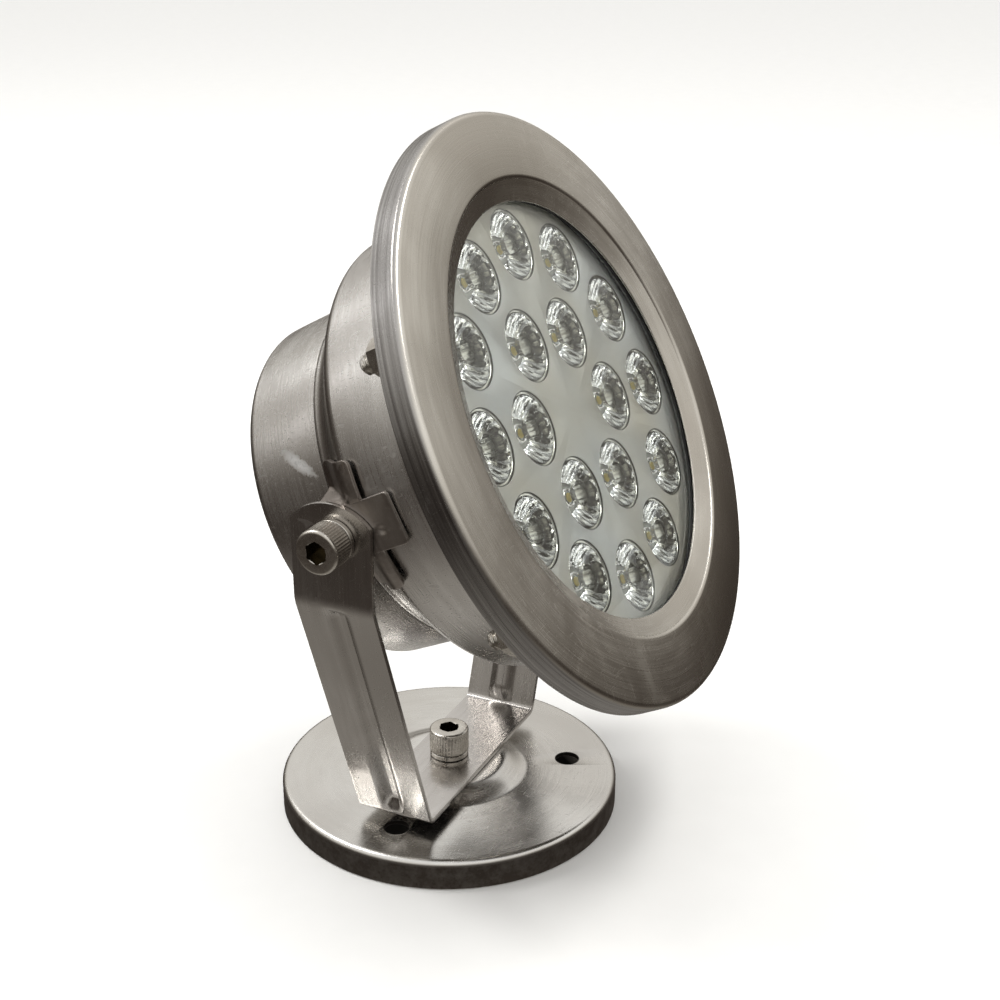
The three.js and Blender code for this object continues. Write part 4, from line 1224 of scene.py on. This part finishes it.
def spot(forward, up, centre):
    """The height of a spot weld's crater and rim at a place on the plate."""
    away = hypot(forward - centre[0], up - centre[1])
    return 0.1 * exp(-(((away - 1.7) / 0.5) ** 2)) - 0.4 * exp(-((away / 1.2) ** 2))


def trunnion(side, sign):
    pad = PLATE_PAD_HALF
    flat = PLATE_MIDDLE

    def out(x, forward, up):
        return (sign * x * MM, up * MM, forward * MM)

    def front_arm(t, s):
        return out(flat + spot(pad + t, s, (14.5, -2)), pad + t, s)

    side_middle = (PLATE_SIDE_FRONT + PLATE_SIDE_REAR) / 2
    side_half = (PLATE_SIDE_FRONT - PLATE_SIDE_REAR) / 2
    web = 3
    side_length = web + PLATE_SIDE_END - PLATE_SIDE_FOOT

    def side_arm(way):
        def place(t, s):
            forward = side_middle + s
            foot = PLATE_SIDE_FOOT + (PLATE_SIDE_FRONT - forward) * PLATE_SIDE_FOOT_RISE
            along = max(t - web, 0) / (side_length - web)
            up = pad - 0.6 + (foot - pad + 0.6) * min(t / web, 1) + (PLATE_SIDE_END - foot) * along
            beside = shoulder_radius(forward) + PLATE_CLEARANCE + PLATE_SHEET / 2
            low = sqrt(beside**2 - up**2)
            x = flat + (low - flat) * smooth(t / web)
            if way < 0:
                x += spot(forward, up, (3.5, 14))
            return out(x, forward, way * up)

        return place

    rear_web = 5

    def rear_arm(t, s):
        forward = -pad - (PLATE_REAR_FOOT - pad) * min(t / rear_web, 1) - max(t - rear_web, 0)
        low = CUP_RADIUS + PLATE_SHEET / 2 + 0.45
        return out(flat + (low - flat) * smooth(t / rear_web), forward, s)

    bm = bmesh.new()
    trunnion_patch(bm, 2 * pad, pad, pad, 0.001, lambda t, s: out(flat, s, t - pad))
    trunnion_patch(bm, PLATE_FRONT_END - pad, pad, PLATE_ARM_HALF, 1, front_arm)
    rear_length = rear_web + PLATE_REAR_END - PLATE_REAR_FOOT
    trunnion_patch(bm, rear_length, pad, PLATE_ARM_HALF, 2, rear_arm)
    bmesh.ops.remove_doubles(bm, verts=bm.verts, dist=0.02 * MM)
    arms = [bm]
    for way in (1, -1):
        arms.append(bmesh.new())
        place = side_arm(way)
        trunnion_patch(arms[-1], side_length, side_half, side_half, PLATE_SIDE_CORNER, place)
    joined = bmesh.new()
    for arm in arms:
        solid = softened(thickened(arm, PLATE_SHEET), 0.2, angle=55)
        scrap = to_mesh(solid, "arm", sharp=50)
        joined.from_mesh(scrap)
        bpy.data.meshes.remove(scrap)
    nodes = [f"trunnion_plate_{side}"]
    lamp_piece(f"pivot_plate_{side}", joined, "trunnion_steel", nodes, sharp=50)


# ---- Cable gland ----


def gland():
    front, rear = GLAND_NUT_FRONT, GLAND_NUT_REAR
    profile = [
        (GLAND_BORE_RADIUS, rear), (GLAND_BORE_RADIUS + 1.2, rear),
        *arc(GLAND_FLATS / 2 - 4, rear + 4, 4, 280, 360, 10), (GLAND_FLATS / 2, front - 0.4),
        (GLAND_FLATS / 2 - 0.4, front), (GLAND_THREAD_RADIUS, front),
        (GLAND_THREAD_RADIUS, rear + 3), (GLAND_BORE_RADIUS, rear + 2),
    ]
    bm = spun(profile, GLAND_GROOVES * 6)
    for vert in bm.verts:
        radius, turn, along = cylindrical(vert)
        on_wall = radius > GLAND_FLATS / 2 - GLAND_GROOVE_DEPTH and rear + 3 < along < front
        if on_wall and round(turn / (2 * pi) * GLAND_GROOVES * 6) % 6 == 0:
            draw_in(vert, GLAND_GROOVE_DEPTH)
    lamp_piece("gland_cap", bm, "gland_brass", ["gland_nut"])


# ---- Carried-over CAD nodes ----


def dress_cad():
    """Every CAD node that still shows gets its slot's material."""
    for entry in frame["record"]["subparts"]:
        thing = frame["nodes"][entry["node"]]
        material = MATERIALS[entry["material_slot"]]
        if not thing.material_slots:
            thing.data.materials.append(material)
        for place in thing.material_slots:
            place.material = material


# ---- Stage and light ----


def stage_paint(name, glow=0):
    """Matt off-white paint with a painted shadow, dark, under the base; glow lights the upper part
    of a wall.
    """
    shader = Shader(name, Specular_IOR_Level=0.2)
    speckle = shader.noise(shader.coordinates(), 60, detail=3)
    tone = shader.blend(speckle, (0.86, 0.86, 0.85), (0.90, 0.90, 0.89))
    rough = shader.span(speckle, 0.3, 0.7, 0.55, 0.7)
    away = shader.vector("LENGTH", shader.coordinates())["Value"]
    # Painted shadow: the floor is painted near black where the base stands.
    under = shader.span(away, (BASE_RADIUS - 10.8) * MM, (BASE_RADIUS - 2.8) * MM, 1, 0)
    tone = shader.blend(under, tone, (0.02, 0.02, 0.02))
    if glow:
        height = shader.add("SeparateXYZ", s0=shader.coordinates()).outputs[2]
        strength = shader.span(height, 0, BACKDROP_COVE, 0, glow)
        shader.set(Emission_Color=tone, Emission_Strength=strength)
    return shader.finish(tone, rough)


def on_stage(name, bm, material):
    mesh = to_mesh(bm, name)
    mesh.materials.append(material)
    thing = placed(name, mesh)
    thing.visible_glossy = False
    return thing


def floor():
    bm = bmesh.new()
    half = FLOOR_HALF
    corners = [(-half, -half), (half, -half), (half, half), (-half, half)]
    bm.faces.new([bm.verts.new((x, y, -FLOOR_DROP)) for x, y in corners])
    on_stage("floor", bm, stage_paint("floor_paint"))


def backdrop():
    """A pale wall all round the floor, with a cove at its foot, that lights nothing."""
    steps = 16
    path = [(BACKDROP_RADIUS - BACKDROP_COVE, -FLOOR_DROP / 2)]
    for i in range(1, steps + 1):
        turn = pi / 2 * i / steps
        run = BACKDROP_RADIUS - BACKDROP_COVE * (1 - sin(turn))
        path.append((run, BACKDROP_COVE * (1 - cos(turn))))
    path.append((BACKDROP_RADIUS, BACKDROP_HEIGHT))
    bm = bmesh.new()
    around = compass(96)
    rings = [[bm.verts.new((run * c, run * s, rise)) for c, s in around] for run, rise in path]
    for low, high in zip(rings, rings[1:]):
        quads(bm, high, low)
    wall = on_stage("backdrop", bm, stage_paint("backdrop_paint", glow=0.45))
    wall.visible_diffuse = False
    wall.visible_shadow = False
    wall.visible_transmission = False


def area_light(name, place, size, energy, colour):
    data = bpy.data.lights.new(name, "AREA")
    data.shape = "RECTANGLE"
    data.size, data.size_y = size
    data.energy = energy
    data.color = colour
    light = placed(name, data)
    light.location = place
    aim = LAMPS_AIM - Vector(place)
    light.rotation_euler = aim.to_track_quat("-Z", "Y").to_euler()


# The studio's brightness, from straight below (0) to straight above (1).
SKY = (
    (0, (0.40, 0.38, 0.35)),
    (0.1, (0.32, 0.30, 0.27)),
    (0.2, (0.12, 0.105, 0.093)),
    (0.29, (0.055, 0.045, 0.038)),
    (0.40, (0.06, 0.05, 0.043)),
    (0.50, (0.13, 0.115, 0.10)),
    (0.55, (0.26, 0.24, 0.215)),
    (0.62, (0.56, 0.54, 0.50)),
    (0.71, (0.92, 0.90, 0.86)),
    (0.85, (1, 0.99, 0.97)),
    (1, (0.95, 0.96, 0.98)),
)
SKY_STRENGTH = 1.1
# Name, place in metres, size in metres, watts and colour.
LAMPS = (
    ("key", (-0.2, 0.9, 1.3), (0.5, 0.35), 9, (1, 0.99, 0.97)),
    ("overhead", (0.2, -0.5, 1.6), (0.9, 0.3), 8, (1, 0.98, 0.95)),
    ("rear_left", (-0.52, 1.3, 0.8), (0.08, 0.7), 0.5, (0.97, 0.98, 1)),
    ("rear_right", (0.25, 1.35, 0.85), (0.08, 0.7), 0.5, (0.97, 0.98, 1)),
)
LAMPS_AIM = Vector((0, 0, 0.1))


def lighting():
    world = bpy.data.worlds.new("studio")
    world.use_nodes = True
    tree = world.node_tree
    background = tree.nodes["Background"]
    coordinate = tree.nodes.new("ShaderNodeTexCoord")
    parts = tree.nodes.new("ShaderNodeSeparateXYZ")
    ramp = tree.nodes.new("ShaderNodeValToRGB")
    tree.links.new(coordinate.outputs["Generated"], parts.inputs[0])
    height = tree.nodes.new("ShaderNodeMapRange")
    height.inputs["From Min"].default_value = -1
    tree.links.new(parts.outputs["Z"], height.inputs["Value"])
    tree.links.new(height.outputs[0], ramp.inputs[0])
    tree.links.new(ramp.outputs[0], background.inputs["Color"])
    fill_ramp(ramp.color_ramp, SKY)
    background.inputs["Strength"].default_value = SKY_STRENGTH
    bpy.context.scene.world = world
    for lamp in LAMPS:
        area_light(*lamp)
    bpy.context.scene.view_settings.view_transform = "Standard"


add_camera()
dress_cad()
base_plate()
fasteners()
bracket()
lamp_shells()
face_ring()
window()
lens_array()
lens_holders()
for side, sign in (("right", 1), ("left", -1)):
    trunnion(side, sign)
gland()
floor()
backdrop()
lighting()
